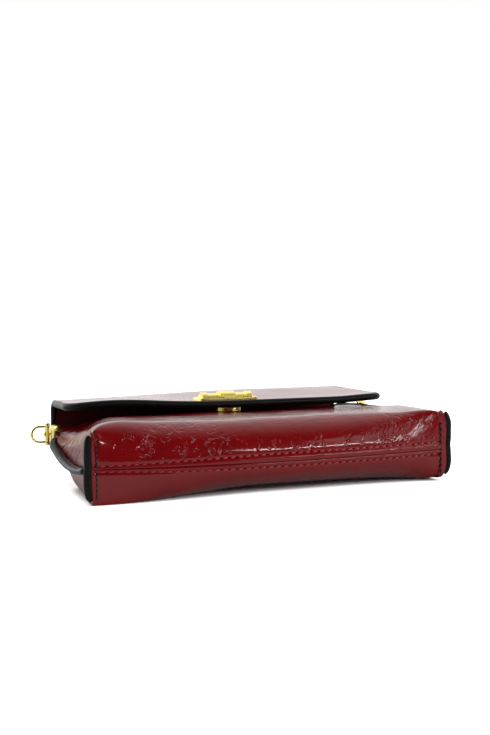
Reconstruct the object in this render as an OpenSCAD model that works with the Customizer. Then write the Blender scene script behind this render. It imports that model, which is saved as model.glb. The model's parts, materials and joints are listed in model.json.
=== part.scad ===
// Soft flap purse with boxed bottom corners, lying on its back with the flap shut.
// X runs along the width, Y from the bottom of the bag to its top, Z up from the surface it lies on.

/* [Body] */
// Width between the two bottom corner seams
bag_w = 237; // [200:1:280]
// Height from the bottom corners to the fold at the top of the back
bag_h = 151; // [142:1:170]
// Height of the side seams
side_h = 118.5; // [112:0.5:124]
// Height of the front panel in the middle
front_h = 124; // [118:0.5:132]
// Depth of the bottom at the left corner
left_depth = 45.5; // [40:0.5:50]
// Depth of the bottom at the right corner
right_depth = 43; // [40:0.5:50]
// Depth of the stuffed bag at the middle of the bottom edge
bottom_depth = 46; // [40:0.5:50]
// Depth of the stuffed bag at half height
waist_depth = 45.5; // [40:0.5:50]
// Depth of the mouth in the middle
mouth_depth = 42; // [38:0.5:46]
// How far the bottom bulges out between its corners
bottom_bulge = 7; // [3:0.5:12]
// How far up the front the rounding of the bottom edge reaches
front_round = 18; // [10:1:30]
// How far up the back the rounding of the bottom edge reaches
back_round = 42; // [24:1:46]
// Distance left of the middle at which the bottom edge comes down on the surface
edge_down = 107; // [80:1:112]
// Height of the bottom seam over the surface
seam_rise = 21; // [16:0.5:25]
// How far the bottom seam sags in the middle
seam_sag = 0.8; // [0:0.1:2]

/* [Sides] */
// Height of the left side seam halfway up
left_dip_z = 18.5; // [15:0.5:24]
// Height of the right side seam halfway up
right_dip_z = 22; // [16:0.5:26]
// Height of the left side seam at the mouth
left_mouth_z = 34; // [26:0.5:37]
// Height of the right side seam at the mouth
right_mouth_z = 42.5; // [30:0.5:43]
// Height of the left shoulder halfway up
left_shoulder_z = 39; // [34:0.5:43]
// Height of the right shoulder halfway up
right_shoulder_z = 46; // [40:0.5:47]
// How far the shoulder lies inside the corner seam halfway up
shoulder_in = 10.5; // [6:0.5:16]
// How far the shoulder lies inside the side seam at the mouth
mouth_shoulder_in = 18.5; // [14:0.5:26]
// Rise of the shoulder over the side seam at the mouth
mouth_shoulder_rise = 3; // [2.5:0.1:5]
// How far the back lies flat inside the corner seam halfway up
floor_in = 12; // [8:0.5:18]
// How far the back lies flat inside the side seam at the mouth
mouth_floor_in = 46; // [36:1:56]

/* [Materials] */
// Thickness of the leather
leather_t = 1.3; // [0.9:0.1:1.6]
// Thickness of the lining
lining_t = 0.5; // [0.3:0.1:0.6]
// Room between leather and lining
layer_gap = 0.2; // [0.15:0.05:0.3]
// Thickness of a bound seam
binding_t = 4.2; // [3:0.1:5]
// How far a bound seam stands out
binding_w = 6; // [4:0.5:7]
// Length over which a side seam's binding narrows towards its clip
binding_taper = 12; // [8:1:20]
// Thickness of the binding tape
tape_t = 0.5; // [0.4:0.05:0.7]

/* [Flap] */
// Length of the flap from its fold to the front edge
flap_len = 76; // [66:1:86]
// How far the flap's edge lies inside the corner seam
flap_in = 6.5; // [4:0.5:12]
// Corner radius of the flap
flap_corner_r = 12; // [10:1:24]
// Angle at which the flap's sides spread towards its front edge
flap_flare = 5; // [0:0.5:6]
// Thickness of the flap's leather
flap_leather_t = 1.6; // [1:0.1:2]
// Thickness of the stiffening board
board_t = 1.2; // [1.1:0.1:1.8]
// Thickness of the flap's lining
flap_lining_t = 0.8; // [0.5:0.1:1.2]
// Width of the binding on the flap's faces
lip_w = 5; // [3.5:0.5:8]
// Half the thickness of the spine
spine_r = 1.7; // [1.2:0.1:2]
// Radius of the spine's corners at the lower fold
spine_corner_r = 26; // [20:1:30]
// Height of the lower fold over the surface
fold_z = 2.4; // [2.3:0.1:4]

/* [Snap] */
// Distance of the snap from the flap's front edge
snap_in = 13.5; // [13:0.5:18]
// Outer diameter of the socket
socket_d = 18; // [15:0.5:19]
// Height of the socket
socket_h = 2.4; // [2.2:0.1:3]
// Diameter of the stud's disc
stud_d = 15; // [12:0.5:17]
// Height of the stud's disc
stud_h = 1.2; // [0.8:0.1:2]
// Diameter of the stud's nub
nub_d = 5.8; // [4:0.1:7]
// Length of the nub
nub_h = 1.6; // [1:0.1:2]
// Diameter of the washers
washer_d = 12; // [10:0.5:14]
// Thickness of the washers
washer_t = 0.6; // [0.4:0.1:0.8]

/* [Ornament] */
// Length of the base plate
plate_l = 44; // [40:1:54]
// Width of the base plate
plate_w = 20; // [16:1:24]
// Thickness of the base plate
plate_t = 1.4; // [1:0.1:2]
// Corner radius of the base plate
plate_r = 5; // [2:0.5:7]
// Length of the bar
bar_l = 37; // [34:1:39]
// Width of the bar
bar_w = 8; // [6:0.5:9]
// Height of the bar
bar_h = 2.8; // [2.4:0.1:3.6]
// Length of the middle band
band_l = 11; // [8:0.5:14]
// Length of a collar
collar_l = 4; // [3:0.5:6]
// Wall of the middle band
band_wall = 1.5; // [1.2:0.1:2]
// Wall of a collar
collar_wall = 0.8; // [0.6:0.1:1.1]
// Distance of the ornament's middle from the flap's front edge
bar_in = 19; // [18:1:40]
// Distance of a post from the middle
post_out = 11; // [10:0.5:12]
// Diameter of a post
post_d = 3; // [2:0.1:3.2]
// Diameter of a nut
nut_d = 6.4; // [5:0.1:7]
// Thickness of a nut
nut_t = 1; // [0.6:0.1:1]

/* [Rings] */
// Distance of the rings from the upper ends of the side seams
ring_in = 6.5; // [6:0.5:9]
// Height of the ring over the side seam
ring_lift = 1; // [0:0.1:1.5]
// Diameter of the ring's bar
ring_bar_d = 3.2; // [2.8:0.1:4]
// Diameter of the balls on the bar's ends
ring_ball_d = 3.6; // [3.3:0.1:4.4]
// Diameter of the wire
wire_d = 1.6; // [1.3:0.1:2]
// Distance between the wire's two legs
ring_w = 10.4; // [9:0.2:14]
// Length of the wire's straight legs
ring_leg = 5.4; // [3:0.1:8]
// Diameter of the knob at the ring's tip
knob_d = 2.4; // [2:0.1:3]
// Diameter of the swivel post
swivel_d = 1.6; // [1.3:0.1:1.8]
// Diameter of the swivel post's head
swivel_head_d = 3.4; // [2.6:0.1:4]
// Width of the clip
clip_w = 9; // [8:0.5:10]
// Inner height of the clip
clip_h = 8.8; // [8.6:0.1:9.8]
// How far the clip reaches over the bag
clip_reach = 5; // [4.8:0.1:5.4]
// Thickness of the clip's plates
clip_t = 1; // [0.8:0.1:1.2]
// Thickness of the clip's outer wall
clip_wall = 1.6; // [1.2:0.1:2]
// Corner radius of the clip
clip_r = 2.5; // [1.5:0.1:3]
// Diameter of the rivet
rivet_d = 2.4; // [1.8:0.1:2.6]
// Diameter of the rivet's heads
rivet_head_d = 5; // [4:0.1:5.4]

/* [Pocket] */
// Width of the slip pocket
pocket_w = 128; // [90:1:136]
// Height of the slip pocket
pocket_h = 68; // [50:1:70]
// Distance of the slip pocket from the rounding of the bottom edge
pocket_in = 4; // [2:0.5:6]
// Thickness of the slip pocket
pocket_t = 0.6; // [0.4:0.1:0.8]
// Width of the hem along the pocket's mouth
hem_w = 10; // [6:1:16]
// Corner radius of the slip pocket
pocket_r = 8; // [4:1:14]

/* [Fits] */
// Gap between the two panels at their seams
seam_gap = 0.1; // [0.05:0.05:0.3]
// Gap between a piece and the one it is sewn or laid on
lay_gap = 0.15; // [0.1:0.05:0.25]
// Room round a piece that moves
move_gap = 0.3; // [0.25:0.05:0.5]
// Radial play of the swivel post in the ring's bar
swivel_fit = 0.05; // [0.03:0.01:0.1]
// Radial play of posts and rivets in their holes
hole_fit = 0.1; // [0.05:0.05:0.2]

/* [Hidden] */
$fn = 48;

red = "#8c0f16";
dark_red = "#5a0c12";
black = "#26282a";
gold = "#d8b25a";
steel = "#b9bcc0";
board_grey = "#8a8073";

// Strips of the leather's mesh between a side seam and its shoulder
side_n = 5;
// Strips of the mesh from the middle to a shoulder
half_n = 7;
// Rows of the mesh from the bottom edge to the mouth
row_n = 9;
// Rows of the back's mesh from the mouth to the fold
top_n = 3;
// How flat the front stays before it falls to the shoulders
crown_power = 10;
// Rings along a bound side seam
seam_n = 16;

half_w = bag_w / 2;
flap_half = half_w - flap_in;
neck_half = flap_half - spine_corner_r;
lining_in = leather_t + layer_gap;
pinch = lining_in + lining_t + layer_gap;
col_n = 2 * (side_n + half_n);
back_n = row_n + top_n;
back_top = bag_h - spine_r - move_gap;
y_middle = (bag_h + spine_r + lay_gap + tape_t - bottom_bulge) / 2;

flap_front = bag_h - flap_len;
snap_y = flap_front + snap_in;
bar_y = flap_front + bar_in;
ring_y = side_h - ring_in;
pocket_y = back_round + pocket_in;

// Curves that the soft forms share
function mix(a, b, t) = a + (b - a) * t;
function mid3(a, b, c, t) = a * (1 - t) * (1 - 2 * t) + 4 * b * t * (1 - t) + c * t * (2 * t - 1);
function ease(t) = t * t * (3 - 2 * t);
function bez(p, t) =
    p[0] * pow(1 - t, 3) + 3 * p[1] * t * pow(1 - t, 2) + 3 * p[2] * t * t * (1 - t) + p[3] * pow(t, 3);

// Across the bag, s is -1 at the left and 1 at the right. Up the bag, r is 0 at the bottom and 1 at
// the mouth.
function left_right(left, right, s) = mix(left, right, (s + 1) / 2);
function corner_depth(s) = left_right(left_depth, right_depth, s);
function mouth_z(s) = left_right(left_mouth_z, right_mouth_z, s);
function seam_z(s, r) = mid3(seam_rise, left_right(left_dip_z, right_dip_z, s), mouth_z(s), r);
function shoulder_z(s, r) =
    let (halfway = left_right(left_shoulder_z, right_shoulder_z, s))
    mid3(corner_depth(s), halfway, mouth_z(s) + mouth_shoulder_rise, r);
function shoulder_x(r) = mid3(half_w, half_w - shoulder_in, half_w - mouth_shoulder_in, r);
function floor_x(r) = mid3(half_w, half_w - floor_in, half_w - mouth_floor_in, r);
function middle_z(r) = mid3(bottom_depth, waist_depth, mouth_depth, r);
function front_z(s, r) = mix(middle_z(r), shoulder_z(s, r), pow(abs(s), crown_power));
function mouth_y(s) = mix(front_h, side_h, pow(s, 4));

// The bottom bows out by bulge(s), and its rounding ends edge_y above the corners. Every form takes an
// inset, so that leather and lining nest in one another.
function bulge(s) = bottom_bulge * (1 - s * s);
function lifted(s) = ease(min(max(s * half_w / edge_down + 1, 0), 1));
function edge_y(s, round_y, inset) = let (y = round_y * (1 - pow(s, 4))) y + inset * (1 - y / round_y);
function back_edge_y(s, inset) = mix(inset, edge_y(s, back_round, inset), lifted(s));
function across(j) = sin(90 * (j / half_n - 1));
function bottom_seam_z(s) = seam_rise - seam_sag * (1 - s * s);
function bottom_point(s, k, inset, high_y, low_z, high_z) =
    let (turn = 90 * k / side_n, low_y = inset - bulge(s))
    [s * (half_w - inset), mix(low_y, high_y, 1 - cos(turn)), mix(low_z, high_z, sin(turn))];

// Front: from a side seam over the shoulder and across
function front_side(s, k, r, inset) =
    let (
        flat = r * r,
        x0 = half_w - inset * (1 - flat),
        z0 = seam_z(s, r) + seam_gap / 2 + (pinch - inset) * flat,
        x3 = shoulder_x(r) - inset,
        z3 = shoulder_z(s, r) - inset,
        t = sin(90 * k / side_n)
    )
    [
        s * bez([x0, mix(x0, x3, mid3(0, 0, 0.33, r)), mix(x0, x3, mid3(0.3, 0.25, 0.66, r)), x3], t),
        mix(inset, side_h, r),
        bez([z0, mix(z0, z3, mid3(1 / 3, 0.45, 0.1, r)), mix(z0, z3, mid3(2 / 3, 0.95, 0.6, r)), z3], t)
    ];
function front_across(s, r, inset) =
    [s * (shoulder_x(r) - inset), mix(edge_y(s, front_round, inset), mouth_y(s), r), front_z(s, r) - inset];
function front_point(c, r, inset) =
    c < side_n ? front_side(-1, c, r, inset) :
    c > col_n - side_n ? front_side(1, col_n - c, r, inset) :
    front_across(across(c - side_n), r, inset);
function front_points(inset) = concat(
    [for (i = [0:row_n], c = [0:col_n]) front_point(c, i / row_n, inset)],
    [for (k = [0:side_n - 1], j = [1:2 * half_n - 1]) let (s = across(j))
        let (high_y = edge_y(s, front_round, inset))
        bottom_point(s, k, inset, high_y, bottom_seam_z(s) + seam_gap / 2, front_z(s, 0) - inset)]
);

// Back: the same with the surface it lies on, and past the mouth up to the fold
function back_curve(x0, z0, x3, z3, r) =
    let (half_up = min(2 * r, 1), held = ease(min(max((r - 0.5) / 0.38, 0), 1)))
    [
        [x0, mix(x0, x3, mix(0, 0.5, held)), mix(x0, x3, mix(0.25, 0.7, held)), x3],
        [z0, mix(z0, z3, mix(mix(1 / 3, 0.5, half_up), 0, held)), mix(z0, z3, mix(2 / 3, 1, half_up)), z3]
    ];
function back_side(s, k, i, inset) =
    let (
        r = min(i / row_n, 1),
        past = max(i - row_n, 0) / top_n,
        flat = r * r,
        edge_x = half_w - inset * (1 - flat),
        edge_z = seam_z(s, r) - seam_gap / 2 - pinch * flat,
        x0 = mix(edge_x, neck_half, past),
        z0 = mix(edge_z, 0, ease(past)) + inset * flat,
        x3 = mix(floor_x(r) - inset, neck_half - lip_w, past),
        curve = back_curve(x0, z0, x3, inset, r),
        t = sin(90 * k / side_n)
    )
    [s * bez(curve[0], t), back_y(s, i, inset), bez(curve[1], t)];
function back_y(s, i, inset) =
    i < row_n ? mix(back_edge_y(s, inset), side_h, i / row_n) :
    mix(side_h, back_top, (i - row_n) / top_n);
function back_across(s, i, inset) =
    let (x3 = mix(floor_x(min(i / row_n, 1)) - inset, neck_half - lip_w, max(i - row_n, 0) / top_n))
    [s * x3, back_y(s, i, inset), inset];
function back_point(c, i, inset) =
    c < side_n ? back_side(-1, c, i, inset) :
    c > col_n - side_n ? back_side(1, col_n - c, i, inset) :
    back_across(across(c - side_n), i, inset);
function back_points(inset) = concat(
    [for (i = [0:back_n], c = [0:col_n]) back_point(c, i, inset)],
    [for (k = [0:side_n - 1], j = [1:2 * half_n - 1]) let (s = across(j))
        bottom_point(s, k, inset, back_edge_y(s, inset), bottom_seam_z(s) - seam_gap / 2, inset)]
);

// Mesh of a panel: a grid from side seam to side seam, and a second grid that turns round the bottom edge
// to the bottom seam and shares the upright corner seams with the first
function grid_at(i, c) = i * (col_n + 1) + c;
function bottom_at(k, j, rows) =
    k == side_n ? grid_at(0, side_n + j) :
    j == 0 ? grid_at(0, k) :
    j == 2 * half_n ? grid_at(0, col_n - k) :
    (rows + 1) * (col_n + 1) + k * (2 * half_n - 1) + j - 1;
function quad(a, b, c, d) = [[a, b, c], [a, c, d]];
function skin_faces(rows) = concat(
    [for (i = [0:rows - 1], c = [0:col_n - 1])
        each quad(grid_at(i, c), grid_at(i + 1, c), grid_at(i + 1, c + 1), grid_at(i, c + 1))],
    [for (k = [0:side_n - 1], j = [0:2 * half_n - 1])
        each quad(
            bottom_at(k, j, rows), bottom_at(k + 1, j, rows),
            bottom_at(k + 1, j + 1, rows), bottom_at(k, j + 1, rows)
        )]
);
function skin_rim(rows) = concat(
    [for (i = [rows:-1:0]) grid_at(i, 0)],
    [for (j = [1:2 * half_n - 1]) bottom_at(0, j, rows)],
    [for (i = [0:rows]) grid_at(i, col_n)],
    [for (c = [col_n - 1:-1:1]) grid_at(rows, c)]
);
function turned(faces) = [for (f = faces) [f[2], f[1], f[0]]];
function moved_on(faces, n) = [for (f = faces) [for (v = f) v + n]];

module skin(outer, inner, rows, turn = false) {
    n = len(outer);
    rim = skin_rim(rows);
    edge = [for (i = [0:len(rim) - 1])
        let (a = rim[i], b = rim[(i + 1) % len(rim)])
        each quad(a, b, b + n, a + n)];
    faces = concat(skin_faces(rows), turned(moved_on(skin_faces(rows), n)), edge);
    polyhedron(concat(outer, inner), turn ? turned(faces) : faces);
}

module loft(rings) {
    n = len(rings[0]);
    last = len(rings) - 1;
    walls = [for (i = [0:last - 1], j = [0:n - 1])
        each quad(i * n + j, i * n + (j + 1) % n, (i + 1) * n + (j + 1) % n, (i + 1) * n + j)];
    start = [for (j = [1:n - 2]) [0, j + 1, j]];
    end = [for (j = [1:n - 2]) [last * n, last * n + j, last * n + j + 1]];
    polyhedron([for (r = rings) each r], concat(walls, start, end));
}

// The same for a section that is open on one side: its outer points come first, then as many inner ones back
module band_loft(rings) {
    n = len(rings[0]);
    last = len(rings) - 1;
    walls = [for (i = [0:last - 1], j = [0:n - 1])
        each quad(i * n + j, i * n + (j + 1) % n, (i + 1) * n + (j + 1) % n, (i + 1) * n + j)];
    cap = [for (i = [0:n / 2 - 2]) each quad(i, i + 1, n - 2 - i, n - 1 - i)];
    polyhedron([for (r = rings) each r], concat(walls, turned(cap), moved_on(cap, last * n)));
}

// Puts the bag's middle over the origin
module lay() {
    translate([0, -y_middle, 0]) children();
}

// Left pieces are the right ones seen in a mirror
module side(s) {
    mirror([s < 0 ? 1 : 0, 0, 0]) children();
}

module front_panel() {
    color(red) lay() skin(front_points(0), front_points(leather_t), row_n);
}

module back_panel() {
    color(red) lay() skin(back_points(0), back_points(leather_t), back_n, true);
}

module front_lining() {
    color(dark_red) lay() skin(front_points(lining_in), front_points(lining_in + lining_t), row_n);
}

module back_lining() {
    color(dark_red) lay() skin(back_points(lining_in), back_points(lining_in + lining_t), back_n, true);
}

module rounded_plate(w, h, r) {
    translate([-w / 2 + r, 0]) square([w - 2 * r, h]);
    translate([-w / 2, r]) square([w, h - 2 * r]);
    for (s = [-1, 1], y = [r, h - r]) translate([s * (w / 2 - r), y]) circle(r);
}

module slip_pocket() {
    base_z = lining_in + lining_t + lay_gap;
    color(dark_red) lay() translate([0, pocket_y, base_z]) {
        linear_extrude(pocket_t) rounded_plate(pocket_w, pocket_h, pocket_r);
        translate([-pocket_w / 2 + pocket_r, pocket_h - hem_w, 0])
            cube([pocket_w - 2 * pocket_r, hem_w, 2 * pocket_t]);
    }
}

// Bound seams: the tape with the seam allowances that it closes over, round on its outer edge
function fin_ring(s, r) =
    let (
        y = side_h * r,
        z = seam_z(s, r),
        thin = ease(min(max((y - ring_y + ring_sweep) / binding_taper + 1, 0), 1)),
        w = mix(binding_w, tip_w, thin),
        bead = mix(binding_t / 2, tip_w * 0.85, thin)
    )
    concat(
        [[s * (half_w + lay_gap), y, z + bead], [s * (half_w + lay_gap), y, z - bead]],
        [for (a = [-90:30:90]) [s * (half_w + w - bead * (1 - cos(a))), y, z + bead * sin(a)]]
    );

module side_binding(s) {
    low = (binding_t - tape_t + lay_gap) / side_h;
    high = (ring_y - clip_w / 2 - lay_gap) / side_h;
    rings = [for (i = [0:seam_n]) fin_ring(s, mix(low, high, s > 0 ? i / seam_n : 1 - i / seam_n))];
    color(black) lay() loft(rings);
}

module corner_binding(s) {
    bead = binding_t / 2;
    color(black) lay() side(s) translate([half_w + lay_gap, bead - tape_t, tape_t])
        linear_extrude(corner_depth(s) - 2 * tape_t) {
            translate([0, -bead]) square([binding_w - lay_gap - bead, binding_t]);
            translate([binding_w - lay_gap - bead, 0]) circle(bead);
        }
}

module side_binding_left() {
    side_binding(-1);
}

module side_binding_right() {
    side_binding(1);
}

module corner_binding_left() {
    corner_binding(-1);
}

module corner_binding_right() {
    corner_binding(1);
}

// Snap: the socket sits on the front panel's highest point under its rim
snap_r = (snap_y - front_round) / (front_h - front_round);
snap_near_r = (snap_y - socket_d / 2 - front_round) / (front_h - front_round);
socket_z = max(front_z(0, snap_r), front_z(0, snap_near_r)) + lay_gap;
prong_l = socket_z - front_z(0, snap_r) + pinch + lay_gap + 2 * washer_t;
socket_hole_d = nub_d + 2 * move_gap;
socket_wall = 0.5;
prong_w = 3;
prong_t = 0.6;
prong_out = 3.8;
flap_z = socket_z + socket_h + move_gap + stud_h;
board_z = flap_z + flap_lining_t + lay_gap / 2;
leather_z = board_z + board_t + lay_gap / 2;
flap_top = leather_z + flap_leather_t;
flap_mid_z = (flap_z + flap_top) / 2;

module prong_pair(length, room = 0) {
    for (s = [-1, 1])
        translate([s * prong_out - prong_t / 2 - room, -prong_w / 2 - room, 0])
            cube([prong_t + 2 * room, prong_w + 2 * room, length]);
}

module snap_socket() {
    color(gold) lay() translate([0, snap_y, socket_z]) {
        difference() {
            cylinder(d = socket_d, h = socket_h);
            translate([0, 0, -1]) cylinder(d = socket_hole_d, h = socket_h + 2);
            translate([0, 0, socket_wall]) magnet_space(0);
        }
        translate([0, 0, -prong_l]) intersection() {
            prong_pair(prong_l + socket_wall);
            cylinder(d = socket_d, h = prong_l + socket_wall);
        }
    }
}

module magnet_space(room) {
    difference() {
        translate([0, 0, room])
            cylinder(d = socket_d - 2 * (socket_wall + room), h = socket_h - 2 * (socket_wall + room));
        translate([0, 0, -1]) cylinder(d = socket_hole_d + 2 * (socket_wall + room), h = socket_h + 2);
    }
}

module socket_magnet() {
    color(steel) lay() translate([0, snap_y, socket_z + socket_wall]) magnet_space(lay_gap / 2);
}

module washer_plate() {
    difference() {
        cylinder(d = washer_d, h = washer_t);
        translate([0, 0, -1]) prong_pair(washer_t + 2, hole_fit);
    }
}

module socket_washer() {
    color(steel) lay() translate([0, snap_y, socket_z - prong_l + washer_t]) washer_plate();
}

// Clip on the end of a side seam, the post that the ring turns on, and the ring. The clip leans with the
// seam.
ring_r = ring_y / side_h;
clip_x = half_w + 2 * lay_gap;
bar_x = clip_x + clip_wall + move_gap + max(ring_bar_d, ring_ball_d) / 2;
rivet_x = half_w - clip_reach / 2;
ring_sweep = (ring_w + wire_d + ring_ball_d) / 2 + move_gap;
tip_w = bar_x - ring_ball_d / 2 - move_gap - half_w;

module at_ring(s) {
    lay() side(s) translate([0, ring_y, seam_z(s, ring_r) + ring_lift]) children();
}

module at_clip(s) {
    step = 0.02;
    rise = seam_z(s, ring_r + step) - seam_z(s, ring_r - step);
    at_ring(s) rotate([atan2(rise, 2 * step * side_h), 0, 0]) translate([0, 0, -ring_lift]) children();
}

module ring_clip(s) {
    outer_h = clip_h + 2 * clip_t;
    reach = clip_reach + clip_x + clip_wall - half_w;
    color(gold) at_clip(s) difference() {
        translate([half_w - clip_reach, -clip_w / 2, -outer_h / 2]) intersection() {
            cube([reach, clip_w, outer_h]);
            translate([reach, clip_w / 2, 0]) rotate(90) translate([0, 0, -1])
                linear_extrude(outer_h + 2) rounded_plate(clip_w, reach + clip_r, clip_r);
        }
        translate([half_w - clip_reach - 1, -clip_w / 2 - 1, -clip_h / 2])
            cube([clip_reach + clip_x - half_w + 1, clip_w + 2, clip_h]);
        translate([rivet_x, 0, -outer_h]) cylinder(d = rivet_d + 2 * hole_fit, h = 2 * outer_h);
        translate([clip_x - 1, 0, ring_lift]) rotate([0, 90, 0]) cylinder(d = swivel_d, h = clip_wall + 2);
    }
}

module dome(d, h) {
    ball_r = (d * d / 4 + h * h) / (2 * h);
    intersection() {
        translate([0, 0, h - ball_r]) sphere(ball_r);
        cylinder(d = d, h = h);
    }
}

module clip_rivet(s) {
    head_z = clip_h / 2 + clip_t;
    color(gold) at_clip(s) translate([rivet_x, 0, 0]) {
        translate([0, 0, -head_z]) cylinder(d = rivet_d, h = 2 * head_z);
        translate([0, 0, head_z]) dome(rivet_head_d, rivet_d / 2);
        mirror([0, 0, 1]) translate([0, 0, head_z]) dome(rivet_head_d, rivet_d / 2);
    }
}

module swivel_post(s) {
    head_x = bar_x + ring_bar_d / 2 + lay_gap;
    color(gold) at_ring(s) rotate([0, 90, 0]) {
        translate([0, 0, clip_x]) cylinder(d = swivel_d, h = head_x - clip_x);
        translate([0, 0, head_x]) dome(swivel_head_d, swivel_head_d / 3);
    }
}

module d_ring(s, roll) {
    color(gold) at_ring(s) translate([bar_x, 0, 0]) rotate([roll, 0, 0]) difference() {
        union() {
            cylinder(d = ring_bar_d, h = ring_w + wire_d, center = true);
            for (m = [-1, 1]) {
                translate([0, 0, m * (ring_w + wire_d) / 2]) sphere(d = ring_ball_d);
                translate([0, 0, m * ring_w / 2]) rotate([0, 90, 0]) cylinder(d = wire_d, h = ring_leg);
            }
            translate([ring_leg, 0, 0]) rotate([90, 0, 0]) rotate([0, 0, -90])
                rotate_extrude(angle = 180) translate([ring_w / 2, 0]) circle(d = wire_d);
            translate([ring_leg + ring_w / 2, 0, 0]) sphere(d = knob_d);
        }
        rotate([0, 90, 0]) cylinder(d = swivel_d + 2 * swivel_fit, h = ring_bar_d + 2, center = true);
    }
}

module ring_clip_left() {
    ring_clip(-1);
}

module ring_clip_right() {
    ring_clip(1);
}

module clip_rivet_left() {
    clip_rivet(-1);
}

module clip_rivet_right() {
    clip_rivet(1);
}

module swivel_post_left() {
    swivel_post(-1);
}

module swivel_post_right() {
    swivel_post(1);
}

module ring_left() {
    d_ring(-1, 0);
}

module ring_right() {
    d_ring(1, 90);
}

// Spine: the strip between the lower fold and the flap's fold, drawn in section, run along the width and cut
// to an outline with round corners at the lower fold
spine_h = flap_mid_z - fold_z;
lining_inset = spine_r + 1;
// How far the spine's bindings follow the round corners
corner_bend = 54;

module along_x(length) {
    rotate([90, 0, 90]) translate([0, 0, -length / 2]) linear_extrude(length) children();
}

module spine_outline(inset) {
    w = flap_half - inset;
    r = spine_corner_r - inset;
    low_z = inset - spine_r;
    translate([-w, low_z + r]) square([2 * w, spine_h + spine_r - low_z - r]);
    translate([-w + r, low_z]) square([2 * (w - r), 2 * r]);
    for (s = [-1, 1]) translate([s * (w - r), low_z + r]) circle(r);
}

module run_and_cut(inset) {
    lay() translate([0, bag_h, fold_z]) intersection() {
        along_x(2 * (flap_half - inset)) children();
        rotate([90, 0, 0]) translate([0, 0, -2 * spine_r]) linear_extrude(4 * spine_r) spine_outline(inset);
    }
}

module spine_panel() {
    color(red) run_and_cut(0) difference() {
        union() {
            translate([-spine_r, 0]) square([2 * spine_r, spine_h]);
            circle(spine_r);
            translate([0, spine_h]) circle(spine_r);
        }
        translate([-spine_r - 1, lining_inset]) square([spine_r + 1, spine_h - 2 * lining_inset]);
    }
}

module spine_lining() {
    color(dark_red) run_and_cut(lay_gap) translate([-spine_r, lining_inset + lay_gap])
        square([spine_r - lay_gap, spine_h - 2 * (lining_inset + lay_gap)]);
}

module spine_binding_section() {
    outer_r = spine_r + lay_gap + tape_t;
    inner_r = spine_r + lay_gap;
    difference() {
        union() {
            translate([-lip_w, -outer_r]) square([lip_w, 2 * outer_r]);
            intersection() {
                circle(outer_r);
                translate([0, -outer_r]) square(2 * outer_r);
            }
        }
        translate([-lip_w - 1, -inner_r]) square([lip_w + 1 + lay_gap, 2 * inner_r]);
    }
}

module spine_binding(s) {
    run_z = spine_corner_r - spine_r;
    color(black) lay() side(s) translate([neck_half, bag_h, fold_z + run_z]) {
        translate([spine_corner_r, 0, 0]) linear_extrude(spine_h - run_z - bead_r - move_gap)
            spine_binding_section();
        rotate([90, 0, 0]) mirror([0, 1, 0]) rotate_extrude(angle = corner_bend)
            translate([spine_corner_r, 0]) spine_binding_section();
    }
}

module spine_binding_left() {
    spine_binding(-1);
}

module spine_binding_right() {
    spine_binding(1);
}

// Flap: leather, board and lining lie on one another, and the binding closes round their edge. Its sides
// spread towards the front and meet the round corners there.
corner_y = flap_front + flap_corner_r;
corner_x = flap_half + (back_top - corner_y) * tan(flap_flare) - flap_corner_r / cos(flap_flare);
corner_n = 8;

function flap_edge(inset) =
    let (
        r = flap_corner_r - inset,
        run = (back_top - corner_y - r * sin(flap_flare)) / cos(flap_flare)
    )
    concat(
        [for (i = [0:corner_n]) let (a = mix(-90, flap_flare, i / corner_n))
            [corner_x + r * cos(a), corner_y + r * sin(a)]],
        [[corner_x + r * cos(flap_flare) - run * sin(flap_flare), back_top]]
    );

module flap_outline(inset) {
    edge = flap_edge(inset);
    last = len(edge) - 1;
    polygon(concat(edge, [for (i = [last:-1:0]) [-edge[i][0], edge[i][1]]]));
}

module post_holes(d) {
    for (s = [-1, 1]) translate([s * post_out, bar_y]) circle(d = d);
}

module flap_panel() {
    color(red) lay() translate([0, 0, leather_z]) linear_extrude(flap_leather_t) difference() {
        flap_outline(edge_in);
        post_holes(post_d + 2 * hole_fit);
    }
}

module flap_board() {
    color(board_grey) lay() translate([0, 0, board_z]) linear_extrude(board_t) difference() {
        flap_outline(edge_in);
        post_holes(nut_d + 2 * hole_fit);
        translate([0, snap_y]) circle(d = washer_d + 2 * hole_fit);
    }
}

module flap_lining() {
    color(dark_red) lay() translate([0, 0, flap_z]) difference() {
        linear_extrude(flap_lining_t) flap_outline(edge_in);
        translate([0, snap_y, -1]) prong_pair(flap_lining_t + 2, hole_fit);
    }
}

// The binding's outer edge is a half round, and its slot ends where a wall is left at the slot's corners
bead_r = (flap_top - flap_z) / 2 + lay_gap + tape_t;
slot_r = bead_r - tape_t;
slot_wall = 0.7 * tape_t;
slot_in = bead_r - sqrt(pow(bead_r - slot_wall, 2) - pow(slot_r, 2));
edge_in = slot_in + lay_gap;

function flap_section() =
    let (turns = [-90:22.5:90])
    concat(
        [[-lip_w, -bead_r]],
        [for (a = turns) [bead_r * (cos(a) - 1), bead_r * sin(a)]],
        [[-lip_w, bead_r], [-lip_w, slot_r]],
        [for (a = turns) [-slot_in, -slot_r * a / 90]],
        [[-lip_w, -slot_r]]
    );
function flap_ring(s, i) =
    let (
        p = flap_edge(0)[i],
        a = mix(-90, flap_flare, min(i / corner_n, 1))
    )
    [for (q = flap_section()) [s * (p[0] + q[0] * cos(a)), p[1] + q[0] * sin(a), flap_mid_z + q[1]]];

module flap_binding() {
    rings = concat(
        [for (i = [corner_n + 1:-1:0]) flap_ring(-1, i)],
        [for (i = [0:corner_n + 1]) flap_ring(1, i)]
    );
    color(black) lay() band_loft(rings);
}

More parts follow.
